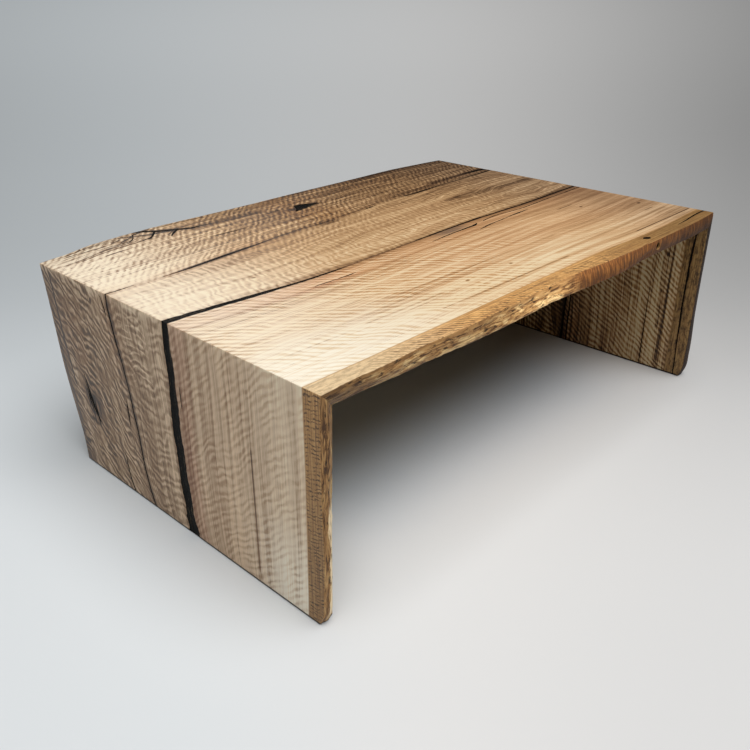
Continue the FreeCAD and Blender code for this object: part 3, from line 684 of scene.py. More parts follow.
    def bump(self, height, distance, strength):
        return self.node("ShaderNodeBump", {"Strength": strength, "Distance": distance, "Height": height})[0]


def new_finish(name):
    """Wiring of a new material, and a function that dresses its surface and returns it."""
    material = bpy.data.materials.new(name)
    material.use_nodes = True
    g = Wiring(material.node_tree)
    surface = material.node_tree.nodes["Principled BSDF"]

    def finish(colour, roughness, normal=None, specular=None):
        g.put(surface.inputs["Base Color"], colour)
        g.put(surface.inputs["Roughness"], roughness)
        if normal is not None:
            g.put(surface.inputs["Normal"], normal)
        if specular is not None:
            surface.inputs["Specular IOR Level"].default_value = specular
        return material
    return g, finish


def unfolded(rows_left, rows_top, rows_right):
    """Rows of three boards' tables as (place along the unfolded plank, depth across)."""
    line = [(row[0] * HEIGHT - REACH, row[1] * DEPTH) for row in rows_left]
    line += [(row[0] * LENGTH, row[1] * DEPTH) for row in rows_top]
    line += [(REACH - row[0] * HEIGHT, row[1] * DEPTH) for row in rows_right[::-1]]
    return line


# The brim's inner boundary and the seam that carries the rear vein on, in metres
BRIM = ((-1.0, -0.357), (-0.9, -0.36), (-0.7, -0.364), (-0.6, -0.3645), (-0.35, -0.3645), (0.0, -0.3605),
        (0.2, -0.3605), (0.31, -0.367), (0.43, -0.369), (0.55, -0.3635), (0.7, -0.362), (1.0, -0.364))
REAR_SEAM = [(0.1, 0.186), (0.28, 0.198), (0.6, 0.214), (REACH, 0.212)]

# How pale the wood is: across each zone from front to rear, and along the unfolded plank
FRONT_TONES = ((0.0, 0.9), (0.05, 0.88), (0.1, 0.81), (0.14, 0.92), (0.21, 0.92), (0.3, 0.84), (0.37, 0.79),
               (0.42, 0.76), (0.48, 0.81), (0.55, 0.79), (0.65, 0.78), (0.76, 0.74), (0.88, 0.68), (1.0, 0.64))
MIDDLE_TONES = ((0.0, 0.7), (0.1, 0.8), (0.35, 0.8), (0.5, 0.74), (0.6, 0.75), (0.85, 0.7), (1.0, 0.66))
BACK_TONES = ((0.0, 0.63), (0.15, 0.69), (0.28, 0.65), (0.4, 0.61), (0.54, 0.61), (0.68, 0.62), (0.87, 0.57),
              (0.96, 0.5), (1.0, 0.44))
FRONT_DRIFT = ((0.0, 0.36), (0.19, 0.4), (0.21, 0.62), (0.28, 0.64), (0.35, 0.64), (0.45, 0.58), (0.55, 0.52),
               (0.65, 0.44), (0.73, 0.34), (0.79, 0.26), (0.81, 0.34), (1.0, 0.32))
MIDDLE_DRIFT = ((0.0, 0.28), (0.19, 0.28), (0.21, 0.6), (0.28, 0.52), (0.34, 0.45), (0.4, 0.42), (0.5, 0.4),
                (0.6, 0.38), (0.7, 0.25), (0.79, 0.2), (0.81, 0.18), (1.0, 0.22))
BACK_DRIFT = ((0.0, 0.32), (0.19, 0.31), (0.21, 0.74), (0.27, 0.61), (0.33, 0.51), (0.4, 0.38), (0.5, 0.3),
              (0.65, 0.19), (0.79, 0.1), (0.81, 0.06), (1.0, 0.12))
TONE_STEPS = (0.0, 0.2, 0.4, 0.6, 0.8, 1.0)
GROWN_KNOTS = ((-0.045, 0.166, 0.035, 0.016), (0.291, 0.096, 0.04, 0.012))

# Thin dark lines and spots in the wood: from s, y to s, y in metres, half width and strength
THIN_LINES = ((-0.385, 0.41, -0.264, 0.338, 0.007, 0.75), (-0.405, 0.38, -0.34, 0.404, 0.004, 0.5),
              (-0.337, 0.336, -0.293, 0.368, 0.0036, 0.6), (0.36, 0.232, 0.6, 0.238, 0.013, 0.22),
              (-0.275, 0.347, -0.205, 0.338, 0.0034, 0.5), (-0.21, 0.338, 0.02, 0.322, 0.0018, 0.32),
              (-0.24, 0.16, -0.1, 0.176, 0.0022, 0.55), (-0.452, 0.367, -0.415, 0.381, 0.005, 0.6),
              (-0.425, 0.393, -0.35, 0.363, 0.006, 0.45), (-0.385, 0.372, -0.29, 0.352, 0.006, 0.45),
              (-0.56, 0.352, -0.46, 0.362, 0.0032, 0.5), (-0.5, 0.335, -0.4, 0.35, 0.0026, 0.45),
              (-0.44, 0.355, -0.385, 0.383, 0.0042, 0.6), (-0.05, 0.298, 0.055, 0.304, 0.011, 0.45),
              (0.5, 0.238, 0.6, 0.238, 0.007, 0.6), (0.22, 0.196, 0.6, 0.211, 0.004, 0.4),
              (-0.5, 0.307, -0.445, 0.314, 0.0028, 0.5), (-0.095, 0.314, -0.045, 0.32, 0.007, 0.3),
              (0.28, 0.404, 0.6, 0.392, 0.005, 0.25), (-0.835, 0.294, -0.75, 0.312, 0.0028, 0.8),
              (-0.76, 0.311, -0.605, 0.328, 0.0032, 0.75), (-0.9, 0.222, -0.825, 0.235, 0.004, 0.6),
              (-0.89, 0.238, -0.8, 0.253, 0.0034, 0.6), (-0.872, 0.212, -0.832, 0.221, 0.0032, 0.5),
              (-0.87, 0.25, -0.815, 0.262, 0.0026, 0.45), (-0.91, 0.246, -0.87, 0.252, 0.0022, 0.45),
              (-0.985, -0.2425, -0.74, -0.2425, 0.003, 0.28), (-0.985, -0.285, -0.62, -0.285, 0.01, 0.07),
              (-0.32, -0.23, 0.22, -0.235, 0.005, 0.12), (-0.4, -0.278, -0.19, -0.279, 0.005, 0.22),
              (-0.59, -0.28, -0.42, -0.28, 0.005, 0.16), (-0.27, -0.325, 0.12, -0.328, 0.0034, 0.24),
              (0.1, -0.305, 0.58, -0.3, 0.008, 0.12), (0.375, -0.135, 0.445, -0.135, 0.0018, 0.45),
              (0.505, -0.28, 0.555, -0.28, 0.0016, 0.4), (0.34, -0.3455, 0.6, -0.3455, 0.0022, 0.45),
              (0.3, 0.094, 0.6, 0.084, 0.022, 0.15), (-0.56, -0.3835, -0.45, -0.3835, 0.0018, 0.7),
              (-0.46, -0.385, -0.34, -0.383, 0.0012, 0.45), (0.694, -0.326, 0.72, -0.326, 0.0055, 0.7),
              (0.788, -0.323, 0.812, -0.323, 0.0035, 0.6), (0.772, -0.394, 0.798, -0.394, 0.0055, 0.6),
              (0.898, -0.396, 0.92, -0.396, 0.0035, 0.6), (0.852, -0.364, 0.874, -0.364, 0.003, 0.6),
              (0.95, -0.388, 0.974, -0.388, 0.005, 0.6), (0.876, -0.324, 0.898, -0.324, 0.0024, 0.6),
              (0.815, -0.325, 0.9, -0.328, 0.0018, 0.4), (0.68, -0.34, 0.99, -0.336, 0.005, 0.25))


def plank_wood(board, colours):
    """The figured wood of one board, drawn in the frame of the unfolded plank, so that streaks
    and ripples run on over the folds."""
    g, finish = new_finish("figured_wood_" + board.piece)
    x, y, z = g.place()
    if board is TOP:
        s, w = x, HEIGHT - z
    elif board is LEFT:
        s, w = z - REACH, x + FOLD
    else:
        s, w = REACH - z, FOLD - x

    # The lines that the growth follows: brown brim, main vein, rear vein, rear live edge
    brim_line = g.line(s, BRIM)
    main_line = g.line(s, unfolded(MAIN_VEIN_LEFT[::2][:-1], MAIN_VEIN_TOP[::2], MAIN_VEIN_RIGHT[:-1]))
    rear_rows = unfolded(REAR_VEIN_LEFT[::2][:-1], REAR_VEIN_EDGE[:1] + REAR_VEIN_TOP[::2], ())
    rear_line = g.line(s, rear_rows + REAR_SEAM)
    edge_line = g.line(s, unfolded(LEFT_REAR[:-1], TOP_REAR, RIGHT_REAR[:-1]))
    front, middle, back = (g.fade(y, start, end, way="LINEAR") for start, end in (
        (brim_line, main_line), (main_line, rear_line), (rear_line, edge_line)))
    in_brim = g.fade(brim_line - y, -0.001, 0.001)
    in_middle = g.fade(y - main_line, -0.002, 0.003)
    soft = g.fade(s, 0.02, 0.22, 0.03, 0.006)
    in_back = g.fade(y - rear_line, soft * -1.0, soft)
    in_front = 1.0 - in_middle
    only_middle = in_middle - in_back

    # Streaks along the growth: broad bands, lines and hair lines
    wander = g.noise(s * 3.0, y * 9.0, w) - 0.5
    flow = front * 0.31 + (middle * 0.21 + back * 0.22)
    flow = flow + g.math("MINIMUM", y - brim_line, 0.0)
    flow = flow + wander * g.sum_of(only_middle, 0.06, in_back, 0.02)
    flow = g.muladd(wander, 0.012, flow)
    bands = g.noise(s * 1.5, flow * 75.0, w * 50.0) - 0.5
    lines = g.noise(s * 5.0, flow * 330.0, w * 220.0, 3.0, 0.65) - 0.5
    hairs = g.noise(s * 30.0, flow * 1300.0, w * 1200.0, 2.0, 0.65) - 0.5

    # How pale the wood is from the brim to the rear edge, and from the left foot to the right one
    pale = in_front * g.curve(front, FRONT_TONES) + only_middle * g.curve(middle, MIDDLE_TONES)
    pale = pale + in_back * g.curve(back, BACK_TONES)
    course = g.muladd(s, 1 / (2 * REACH), 0.5)
    drift = in_front * g.curve(course, FRONT_DRIFT) + only_middle * g.curve(course, MIDDLE_DRIFT)
    drift = drift + in_back * g.curve(course, BACK_DRIFT)
    plain = pale + (drift - 0.5)
    rings = g.noise(s * 1.8, flow * 620.0, w * 300.0, 2.0, 0.6)
    tone = g.muladd(bands, 0.5, plain)
    calm = 1.35
    if board is TOP:
        calm = in_front * g.fade(s, -0.3, -0.05, 0.85, 0.5) + only_middle * g.fade(s, 0.1, 0.35, 0.42, 0.8)
        calm = g.muladd(in_back, 1.25, calm)
    elif board is LEFT:
        calm = g.muladd(in_middle, 0.18, 0.46)
    tone = g.muladd(g.sum_of(lines, 0.95, hairs, 0.65), calm, tone)
    tone = tone - g.fade(rings, 0.56, 0.66) * (g.fade(bands, -0.1, 0.15, 0.26, 0.06) * calm)

    # Ripple: fine strokes in front, soft upright ones in the middle, slanting ones behind
    bend = wander * 4.0
    on_leg = g.fade(s, -0.602, -0.598, 1.0, 0.0)
    on_far_leg = g.fade(s, 0.598, 0.602)
    on_table = 1.0 - (on_leg + on_far_leg)
    patch = g.fade(g.noise(s * 9.0, y * 22.0, w * 9.0), 0.34, 0.58, 0.25, 1.0)
    if board is TOP:
        wide = g.ripple(s, y, w, (0.7, -0.71), 0.013, 0.06, bend, 1.4)
        fading = g.fade(s, 0.2, -0.15, 0.24, 1.0) * patch * in_front
        tone = g.muladd(fading, (g.fade(wide, 0.3, 0.9) - 0.4) * 0.24, tone)
        strokes = fading * g.fade(wide, 0.5, 0.1, 0.0, 0.9)
        behind = g.ripple(s, y, w, (0.62, 0.785), 0.0122, 0.04, bend, 1.3)
        second = g.ripple(s, y, w, (0.15, 0.99), 0.0145, 0.03, bend, 2.3)
        cut = g.sum_of(behind, 0.75, second, 0.35)
        reach = in_back * g.fade(patch, 0.25, 1.0, 0.6, 1.0) * g.fade(s, 0.0, 0.15, 1.0, 0.68)
        tone = g.muladd(only_middle * (second - 0.5) * g.fade(s, -0.35, -0.2, 0.27, 0.18), 1.0, tone)
        beside = only_middle * g.fade(middle, 0.45, 0.85) * g.between(s, -0.36, 0.06, 0.06)
        tone = g.muladd((reach + beside * 0.5) * (cut - 0.55), -0.5, tone)
    elif board is LEFT:
        ladder = g.ripple(s, y, w, (0.62, -0.785), 0.0118, 0.034, bend, 1.5)
        strokes = in_front * patch * g.fade(ladder, 0.65, 0.1, 0.0, 0.42)
        tone = g.muladd(in_front * patch * (ladder - 0.5), 0.15, tone)
        soft_figure = g.ripple(s, y, w, (0.05, -1.0), 0.0185, 0.034, wander * 6.0, 2.6)
        tone = g.muladd(only_middle * (soft_figure - 0.5), 0.23, tone)
        squiggles = g.ripple(s, y, w, (0.15, 0.99), 0.013, 0.04, wander * 6.0, 1.6)
        steep = g.ripple(s, y, w, (0.58, 0.815), 0.014, 0.04, bend, 2.7)
        where = g.between(s, -0.745, -0.605, 0.02) * g.between(middle, 0.4, 0.85, 0.08)
        tone = g.muladd(where * g.fade(squiggles, 0.6, 0.95), 0.2, tone)
        tone = g.muladd(in_back * (steep - 0.5), -0.38, tone)
    else:
        slope = g.ripple(s, y, w, (0.52, -0.855), 0.0112, 0.045, bend, 1.3)
        strokes = g.fade(slope, 0.62, 0.2, 0.0, 1.5)
        tone = g.muladd(slope - 0.5, 0.5, tone)
        tone = g.muladd(g.hill(y, -0.352, 0.01), 0.24, tone)
        tone = g.muladd(g.hill(y, -0.312, 0.012), 0.14, tone)
        tone = tone + g.sum_of(bands, 0.7, lines, 0.5)
        tone = tone + g.fade(y, -0.1, -0.3, -0.02, 0.06)

    # Dark streaks that gather at the bark pocket, and stain round the pocket and the bark void
    inset = y - edge_line
    swept = g.noise(s * 5.0, (inset - g.fade(s, -0.46, -0.34, 0.0, 0.035)) * 260.0, w * 150.0, 2.0, 0.6)
    gather = g.between(s, -0.57, -0.35, 0.03) * g.between(inset, -0.065, -0.004, 0.012)
    tone = tone - gather * g.fade(swept, 0.52, 0.62, 0.0, 0.45)
    streaky = g.fade(lines, -0.1, 0.12, 0.25, 1.0)
    pocket = abs(y - g.line(s, [(row[0] * LENGTH, row[1] * DEPTH) for row in BARK_POCKET]))
    pocket = g.fade(pocket, 0.022, 0.002) * g.between(s, -0.38, -0.09, 0.02)
    void = g.hill(s, -0.848, 0.07) * g.hill(y - s * 0.15, 0.363, 0.038)
    tone = g.muladd((pocket + void * 1.5) * streaky, -0.38, tone)

    # Stain beside the veins, fine cracks along them, thin lines, pin knots and grown-in knots
    near = g.most(g.fade(abs(y - main_line), 0.02, 0.002),
        g.fade(abs(y - rear_line), 0.012, 0.001) * g.fade(s, 0.1, -0.1))
    tone = g.muladd(near * streaky, -0.22, tone)
    reddened = g.between(y - main_line, -0.05, -0.004, 0.01) * g.fade(s, -0.15, -0.32, 0.3, 1.0)
    broken = g.fade(g.noise(s * 30.0, 0.0, w), 0.35, 0.55, 0.3, 1.0)
    unfaded = 1.0 - g.between(s, -0.24, 0.0, 0.04) * 0.8
    hair = g.most(g.fade(abs(y - main_line), 0.0045, 0.001) * unfaded,
        g.fade(abs(y - rear_line), 0.0035, 0.0008)
        * g.most(g.between(s, -0.46, -0.22, 0.04), 0.75 - on_table * 0.6))
    tone = g.muladd(hair * broken, -0.45, tone)
    thick = g.fade(abs(y - rear_line), 0.0062, 0.003) * g.between(s, -0.43, -0.27, 0.03)
    tone = g.muladd(thick, -0.7, tone)
    for row in THIN_LINES:
        if board is (LEFT if row[0] < -FOLD else RIGHT if row[0] > FOLD else TOP):
            tone = g.muladd(g.streak(s, y, row), -row[5], tone)
    distance, pick = g.texture("ShaderNodeTexVoronoi", (s * 16.0, y * 24.0, w * 12.0), Scale=1.0)[:2]
    chosen = g.node("ShaderNodeSeparateColor", [pick])[0]
    pins = g.fade(distance, 0.12, 0.03) * g.fade(chosen, 0.92, 0.94)
    tone = g.muladd(pins, -0.45, tone)
    for centre_s, centre_y, half_s, half_y in GROWN_KNOTS:
        away = g.math("SQRT", g.math("POWER", (s - centre_s) * (1 / half_s), 2.0)
            + g.math("POWER", (y - centre_y) * (1 / half_y), 2.0))
        tone = g.muladd(g.fade(g.muladd(lines, 2.5, away), 1.1, 0.3), -0.22, tone)
    tone = g.muladd(tone - plain, colours.contrast, plain)

    # Colours: pink and ruddy tints, a painted sheen of cream towards the left end, grey where the vein encloses
    # wood
    browns = (colours.soot, colours.umber, colours.brown, colours.tan, colours.honey, colours.pale)
    colour = g.tones(tone, *zip(TONE_STEPS, browns))
    pink = in_front * g.fade(front, 0.15, 0.5, 0.1, 0.8) + g.fade(bands, 0.05, -0.1, 0.0, 0.4)
    colour = g.cast(pink * g.fade(s, -0.4, 0.05, 0.35, 0.8), colour, (1.0, 0.9, 0.86))
    colour = g.cast(reddened * g.fade(lines, -0.12, 0.12, 1.0, 0.4), colour, (0.9, 0.68, 0.58))
    tanned = g.hill(y - rear_line, 0.0, 0.05) * (g.fade(s, -0.15, -0.3) * g.fade(s, -0.8, -0.7))
    colour = g.cast(tanned, colour, (0.98, 0.9, 0.8))
    ruddy = in_back * g.hill(s, -0.02, 0.11)
    if board is LEFT:
        ruddy = in_back * g.between(s, -0.78, -0.64, 0.04) * g.fade(y, 0.21, 0.26)
    colour = g.cast(ruddy, colour, (0.9, 0.82, 0.72))
    colour = g.cast(on_table * g.fade(s, 0.28, 0.58), colour, (0.97, 1.04, 1.2))
    # Painted sheen: cream mixed over the left end of the top and the left leg, stronger at the top's front
    # corner, standing in for the gloss finish's wash of reflected light; the dark lines are drawn again over it
    painted_sheen = g.fade(s, -0.2, -0.58, 0.0, 0.5) - on_leg * 0.25
    corner = g.fade(y, -0.19, -0.33) * (g.fade(s, -0.12, -0.45, 0.0, 0.4)
        + on_leg * g.fade(s, -0.8, -0.97, -0.3, 0.2))
    painted_sheen = (painted_sheen + corner) * g.fade(tone, 0.35, 0.75)
    colour = g.mix(painted_sheen, colour, colours.cream)
    colour = g.cast(g.fade(lines, 0.02, -0.14) * (painted_sheen * 0.8), colour, (0.92, 0.8, 0.66))
    colour = g.cast(strokes, colour, (0.86, 0.75, 0.62))
    island = g.hill(s, 0.085, 0.085) * g.between(y - main_line, -0.022, -0.003, 0.005)
    colour = g.mix(island * g.fade(lines, -0.15, 0.1, 0.4, 0.9), colour, colours.grey_brown)

    # The brim: amber, with dark ticks in its outer half that lie askew like the lay of a rope
    ticks = g.ripple(s, y, w, (0.75, -0.66), 0.0078, 0.03, bend, 1.6)
    ragged = g.noise(s * 70.0, y * 160.0, w * 90.0, 3.0, 0.65)
    streak = g.noise(s * 7.0, y * 420.0, w * 200.0, 3.0, 0.6)
    amber = g.tones(g.sum_of(streak, 0.7, ragged, 0.3), (0.36, colours.brown), (0.46, colours.amber),
        (0.6, colours.gold))
    amber = g.mix(on_table * g.fade(s, -0.22, -0.56, 0.0, 0.65), amber,
        g.shade(colours.pale, g.fade(ragged, 0.35, 0.6, 0.72, 1.1)))
    if board is TOP:
        outer = g.fade(brim_line - y, 0.004, 0.014, 0.25, 1.0) * g.between(s, -0.46, 0.22, 0.1)
        ticks = outer * g.fade(ticks, 0.5, 0.15) * g.fade(ragged, 0.36, 0.52, 0.2, 1.0)
        amber = g.mix(ticks, amber, colours.umber)
        amber = g.shade(amber, g.fade(s, -0.52, -0.32, 1.08, 1.46) * g.fade(s, 0.02, 0.42, 0.9, 0.37))
    elif board is LEFT:
        curls = g.ripple(s, y, w, (0.12, -0.99), 0.0066, 0.014, bend, 2.0)
        amber = g.mix(g.fade(curls, 0.5, 0.1) * g.fade(ragged, 0.36, 0.56), amber, colours.umber)
        amber = g.shade(amber, g.fade(s, -0.95, -0.62, 0.6, 0.85))
    else:
        amber = g.shade(amber, g.fade(ragged, 0.36, 0.58, 0.3, 0.72))
    colour = g.mix(in_brim, colour, amber)
    seam = g.hill(brim_line - y, 0.0, 0.0025) * g.fade(streak, 0.3, 0.6, 0.3, 0.7)
    colour = g.mix(seam, colour, colours.amber)

    # The live edges: torn amber with brown hollows and pale flakes, sanded to rust where cut back
    facing = g.place("ShaderNodeNewGeometry", "Normal")[1]
    on_edge = g.fade(abs(facing), 0.45, 0.8)
    down = w * (1 / THICKNESS)
    bark = g.noise(s * 30.0, y * 26.0, w * 260.0, 4.0, 0.68, 0.7)
    edge = g.tones(bark, (0.3, colours.umber), (0.4, colours.bark), (0.48, colours.amber), (0.6, colours.gold),
        (0.72, colours.sapwood))
    rag = g.noise(s * 18.0, 0.0, w * 70.0, 4.0, 0.62, 0.4)
    pale_at = g.most(g.between(s, -0.5, -0.03, 0.04), g.between(s, -0.985, -0.74, 0.015))
    flakes = g.fade(rag + (down - 0.5) * 0.16 + pale_at * 0.1, 0.6, 0.7)
    low = g.between(s, -0.982, -0.785, 0.012) * g.fade(down + rag, 0.78, 0.9)
    flakes = g.most(flakes, low) * g.fade(facing, -0.2, -0.5)
    cream = g.shade(g.tones(bark, (0.36, colours.amber), (0.52, colours.sapwood)),
        g.fade(bark, 0.34, 0.64, 0.7, 1.35))
    edge = g.mix(flakes, edge, cream)
    rim = g.fade(down, 0.3, 0.1) * g.between(s, -0.6, 0.05, 0.02)
    edge = g.mix(rim * 0.6, edge, colours.amber)
    light = g.fade(s, -0.6, -0.4, 0.34, 0.72) * g.fade(s, -0.25, -0.08, 1.0, 1.75)
    edge = g.shade(edge, g.most(light, on_leg * 0.62))
    if board is LEFT:
        edge = g.mix(low * g.fade(bark, 0.36, 0.5, 0.55, 0.95), edge, colours.pale)
    pits = g.noise(s * 50.0, 0.0, w * 190.0, 3.0, 0.6)
    edge = g.shade(edge, g.fade(pits, 0.58, 0.66, 1.0, 0.2))
    comb = g.noise(g.sum_of(s, 260.0, w, 90.0), y * 30.0, w * 40.0, 3.0, 0.65)
    sanded = g.tones(comb, (0.36, colours.bark), (0.5, colours.rust), (0.66, colours.copper))
    sanded = g.shade(sanded, g.fade(s, 0.1, 0.56, 1.0, 0.4) * g.fade(down, 0.0, 0.9, 1.25, 0.65))
    edge = g.mix(g.fade(s, -0.02, 0.06, 1.0, 0.0), sanded, edge)
    edge = g.shade(edge, g.muladd(on_far_leg, -0.65, 1.0))
    colour = g.mix(on_edge, colour, edge)
    # Painted shade: the lowest few millimetres of each leg are darkened to soot, a dark line where the leg
    # stands on its felt strip and the floor
    if board is not TOP:
        colour = g.mix(g.fade(z, 0.0052, 0.0036), colour, colours.soot)
    # Painted shade: the inner faces, under the top and inside the legs, are darkened and greyed for the table's
    # own shade
    inside = g.fade(w, 0.85 * THICKNESS, 0.98 * THICKNESS) * (1.0 - on_edge)
    colour = g.cast(inside, colour, (0.7, 0.72, 0.68))

    worn = g.fade(lines, -0.2, 0.2, 0.0, 0.12) + on_edge * 0.25 + colours.gloss
    height = (hairs + lines * 0.6) * 0.6 + bark * on_edge * 5.0
    return finish(colour, worn, g.bump(height, 0.0004, 0.5), 0.3)


def poured_resin(colours):
    """Black resin: glossy, with a brown cloud here and there and fine polishing scratches."""
    g, finish = new_finish("black_resin")
    x, y, z = g.place()
    clouds = g.noise(x * 60.0, y * 140.0, z * 60.0, 3.0, 0.6)
    scratches = g.noise(x * 300.0, y * 900.0, z * 300.0, 2.0)
    body = g.tones(clouds, (0.52, colours.resin), (0.75, colours.resin_cloud))
    # Pale streaks along the veins: partly slivers of wood caught in the resin and partly painted glints of
    # light on the resin
    slivers_and_glints = g.noise(x * 24.0, y * 480.0, z * 24.0, 2.0, 0.6)
    body = g.mix(g.fade(slivers_and_glints, 0.66, 0.72), body, colours.sliver_glint)
    thin = g.between(x, -0.225, -0.015, 0.03) * g.between(y, -0.1, -0.055, 0.005)
    body = g.mix(thin * g.fade(slivers_and_glints, 0.35, 0.55, 0.5, 0.9), body, colours.dust)
    return finish(body, g.fade(scratches, 0.35, 0.65, 0.22, 0.42), g.bump(clouds, 0.0012, 0.5), 0.02)


def pressed_felt():
    """Black pressed felt: matted fibres."""
    g, finish = new_finish("pressed_felt")
    x, y, z = g.place()
    fibres = g.noise(x * 900.0, y * 900.0, z * 900.0, 4.0, 0.7, 1.5)
    colour = g.tones(fibres, (0.35, (0.01, 0.01, 0.011)), (0.7, (0.05, 0.05, 0.052)))
    return finish(colour, 0.95, g.bump(fibres, 0.0005, 0.8))


def bare_beech():
    """Bare beech of the loose tenons: pinkish tan with short dark flecks."""
    g, finish = new_finish("bare_beech")
    x, y, z = g.place()
    rays = g.noise(x * 400.0, y * 900.0, z * 120.0, 3.0)
    colour = g.tones(rays, (0.36, (0.3, 0.16, 0.08)), (0.6, (0.58, 0.38, 0.22)))
    return finish(colour, 0.6, g.bump(rays, 0.0002, 0.4))


# What a user may change

def length_of(name, text, size):
    return bpy.props.FloatProperty(name=name, description=text, default=size, min=0.0, unit="LENGTH",
                                   precision=5)


def colour_of(name, text, colour):
    return bpy.props.FloatVectorProperty(name=name, description=text, default=colour, subtype="COLOR",
                                         min=0.0, max=1.0, size=3)


class BoardSettings(bpy.types.PropertyGroup):
    arris: length_of("Arris", "Radius of the worn arrises of the live edges", 0.0012)
    fold_arris: length_of("Fold arris", "How far the outer corner of each mitre is eased", 0.00035)
    edge_relief: length_of("Edge relief", "Depth of the torn bark on the live edges", 0.0014)
    edge_margin: length_of("Edge margin", "How far the edges stay inside the solids", 0.0003)
    front_swell: length_of("Front swell", "How far the front edge swells between its arrises", 0.0025)
    rear_swell: length_of("Rear swell", "How far the rear edge swells between its arrises", 0.0035)
    station: length_of("Station", "Distance between rings along the grain", 0.0022)
    edge_rows: bpy.props.IntProperty(name="Edge rows", description="Rows of points down each live edge",
                                     default=18, min=6)
    face_columns: bpy.props.IntProperty(name="Face columns", description="Columns across each face",
                                        default=10, min=3)


class ResinSettings(bpy.types.PropertyGroup):
    sink: length_of("Sink", "How far the resin lies below the wood at its sides", 0.00008)
    dish: length_of("Dish", "Greatest hollow of the resin across a vein", 0.00055)
    hole_depth: length_of("Hole depth", "Depth of the knot hole in the front edge", 0.014)


class FinishSettings(bpy.types.PropertyGroup):
    # Cream is the colour of the painted sheen over the left end, standing in for the gloss finish's wash of
    # reflected light
    cream: colour_of("Cream", "Bleached wood towards the left end", (0.97, 0.912, 0.772))
    pale: colour_of("Pale", "Palest streaks of the heartwood", (0.87, 0.70, 0.45))
    honey: colour_of("Honey", "Main colour of the heartwood", (0.70, 0.46, 0.245))
    tan: colour_of("Tan", "Darker streaks", (0.46, 0.275, 0.13))
    brown: colour_of("Brown", "Brown figure and stain", (0.27, 0.15, 0.068))
    umber: colour_of("Umber", "Dark figure", (0.13, 0.068, 0.031))
    soot: colour_of("Soot", "Darkest pits", (0.04, 0.02, 0.010))
    amber: colour_of("Amber", "Brown of the brim and of the torn edge", (0.44, 0.225, 0.078))
    gold: colour_of("Gold", "Pale parts of the brim and of the torn edge", (0.68, 0.40, 0.155))
    bark: colour_of("Bark", "Dark parts of the live edge", (0.115, 0.050, 0.018))
    rust: colour_of("Rust", "Reddish brown of the sanded edge", (0.185, 0.066, 0.018))
    copper: colour_of("Copper", "Pale streaks of the sanded edge", (0.40, 0.165, 0.042))
    sapwood: colour_of("Sapwood", "Pale yellow sapwood under the live edge", (0.76, 0.52, 0.24))
    grey_brown: colour_of("Grey brown", "Dead wood enclosed by the vein", (0.16, 0.11, 0.08))
    resin: colour_of("Resin", "Black resin", (0.005, 0.0045, 0.004))
    resin_cloud: colour_of("Resin cloud", "Bark dust caught in the resin", (0.022, 0.014, 0.009))
    dust: colour_of("Dust", "Reddish dust in the narrowest part of the main vein", (0.24, 0.125, 0.065))
    # Splinter: pale streaks in the resin, partly slivers of wood and partly painted glints of light
    sliver_glint: colour_of("Splinter", "Slivers of wood caught in the resin", (0.16, 0.12, 0.07))
    contrast: bpy.props.FloatProperty(name="Contrast", description="How strongly the figure stands out",
                                      default=1.25, min=0.0, max=3.0)
    gloss: bpy.props.FloatProperty(name="Gloss", description="Least roughness of the clear finish",
                                   default=0.30, min=0.0, max=1.0)


class StageSettings(bpy.types.PropertyGroup):
    lens: bpy.props.FloatProperty(name="Lens", description="Focal length in millimetres",
                                  default=39.30, min=1.0)
    eye: bpy.props.FloatVectorProperty(name="Eye", description="Place of the camera",
                                       default=(-1.2242, -1.08655, 0.89366), subtype="TRANSLATION", size=3)
    tilt: bpy.props.FloatProperty(name="Tilt", description="Camera's angle from straight down",
                                  default=math.radians(63.394), subtype="ANGLE")
    heading: bpy.props.FloatProperty(name="Heading", description="Camera's turn about the vertical",
                                     default=math.radians(-46.577), subtype="ANGLE")
    sky_power: bpy.props.FloatProperty(name="Ambient", description="Strength of the even light",
                                       default=0.015, min=0.0)


class WATERFALL_OT_boards(bpy.types.Operator):
    """Make the top and the two legs, with live edges and mitred ends"""
    bl_idname = "waterfall.boards"
    bl_label = "Boards"

    def execute(self, context):
        settings = context.scene.waterfall_boards
        for board in (TOP, LEFT, RIGHT):
            mesh = tube_mesh(board.piece, board_rings(board, settings), board.mirrored)
            add_object(board.piece, mesh)
        return {"FINISHED"}


def mortise_tools(side):
    """Tools that cut the mortises of one mitre: bars with half round sides, square to the mitre and
    a little larger than the tenons."""
    half_width, half_thick, half_long = MORTISE_HALF_SIZES
    seat = MORTISE_SEAT_SHARE * THICKNESS
    tools = []
    for share in MORTISE_PLACES:
        turn = np.linspace(-math.pi / 2, math.pi / 2, 9)
        flat = half_width - half_thick
        a = np.concatenate([flat + half_thick * np.cos(turn), -flat - half_thick * np.cos(turn)])
        b = np.concatenate([half_thick * np.sin(turn), half_thick * -np.sin(turn)])
        reach = np.array([-half_long, half_long])[:, None]
        x = side * (FOLD - seat) + (side * b - side * reach) * math.sqrt(0.5)
        z = HEIGHT - seat + (b + reach) * math.sqrt(0.5)
        points = np.stack([x, share * DEPTH + a + 0 * reach, z], -1)
        tools.append(add_object("mortise", tube_mesh("mortise", points, side < 0)))
    return tools


class WATERFALL_OT_mortises(bpy.types.Operator):
    """Cut the mortises for the loose tenons in the mitres"""
    bl_idname = "waterfall.mortises"
    bl_label = "Mortises"

    def execute(self, context):
        for board, sides in ((TOP, (-1, 1)), (LEFT, (-1,)), (RIGHT, (1,))):
            for side in sides:
                combine(bpy.data.objects[board.piece], mortise_tools(side), "DIFFERENCE")
        return {"FINISHED"}


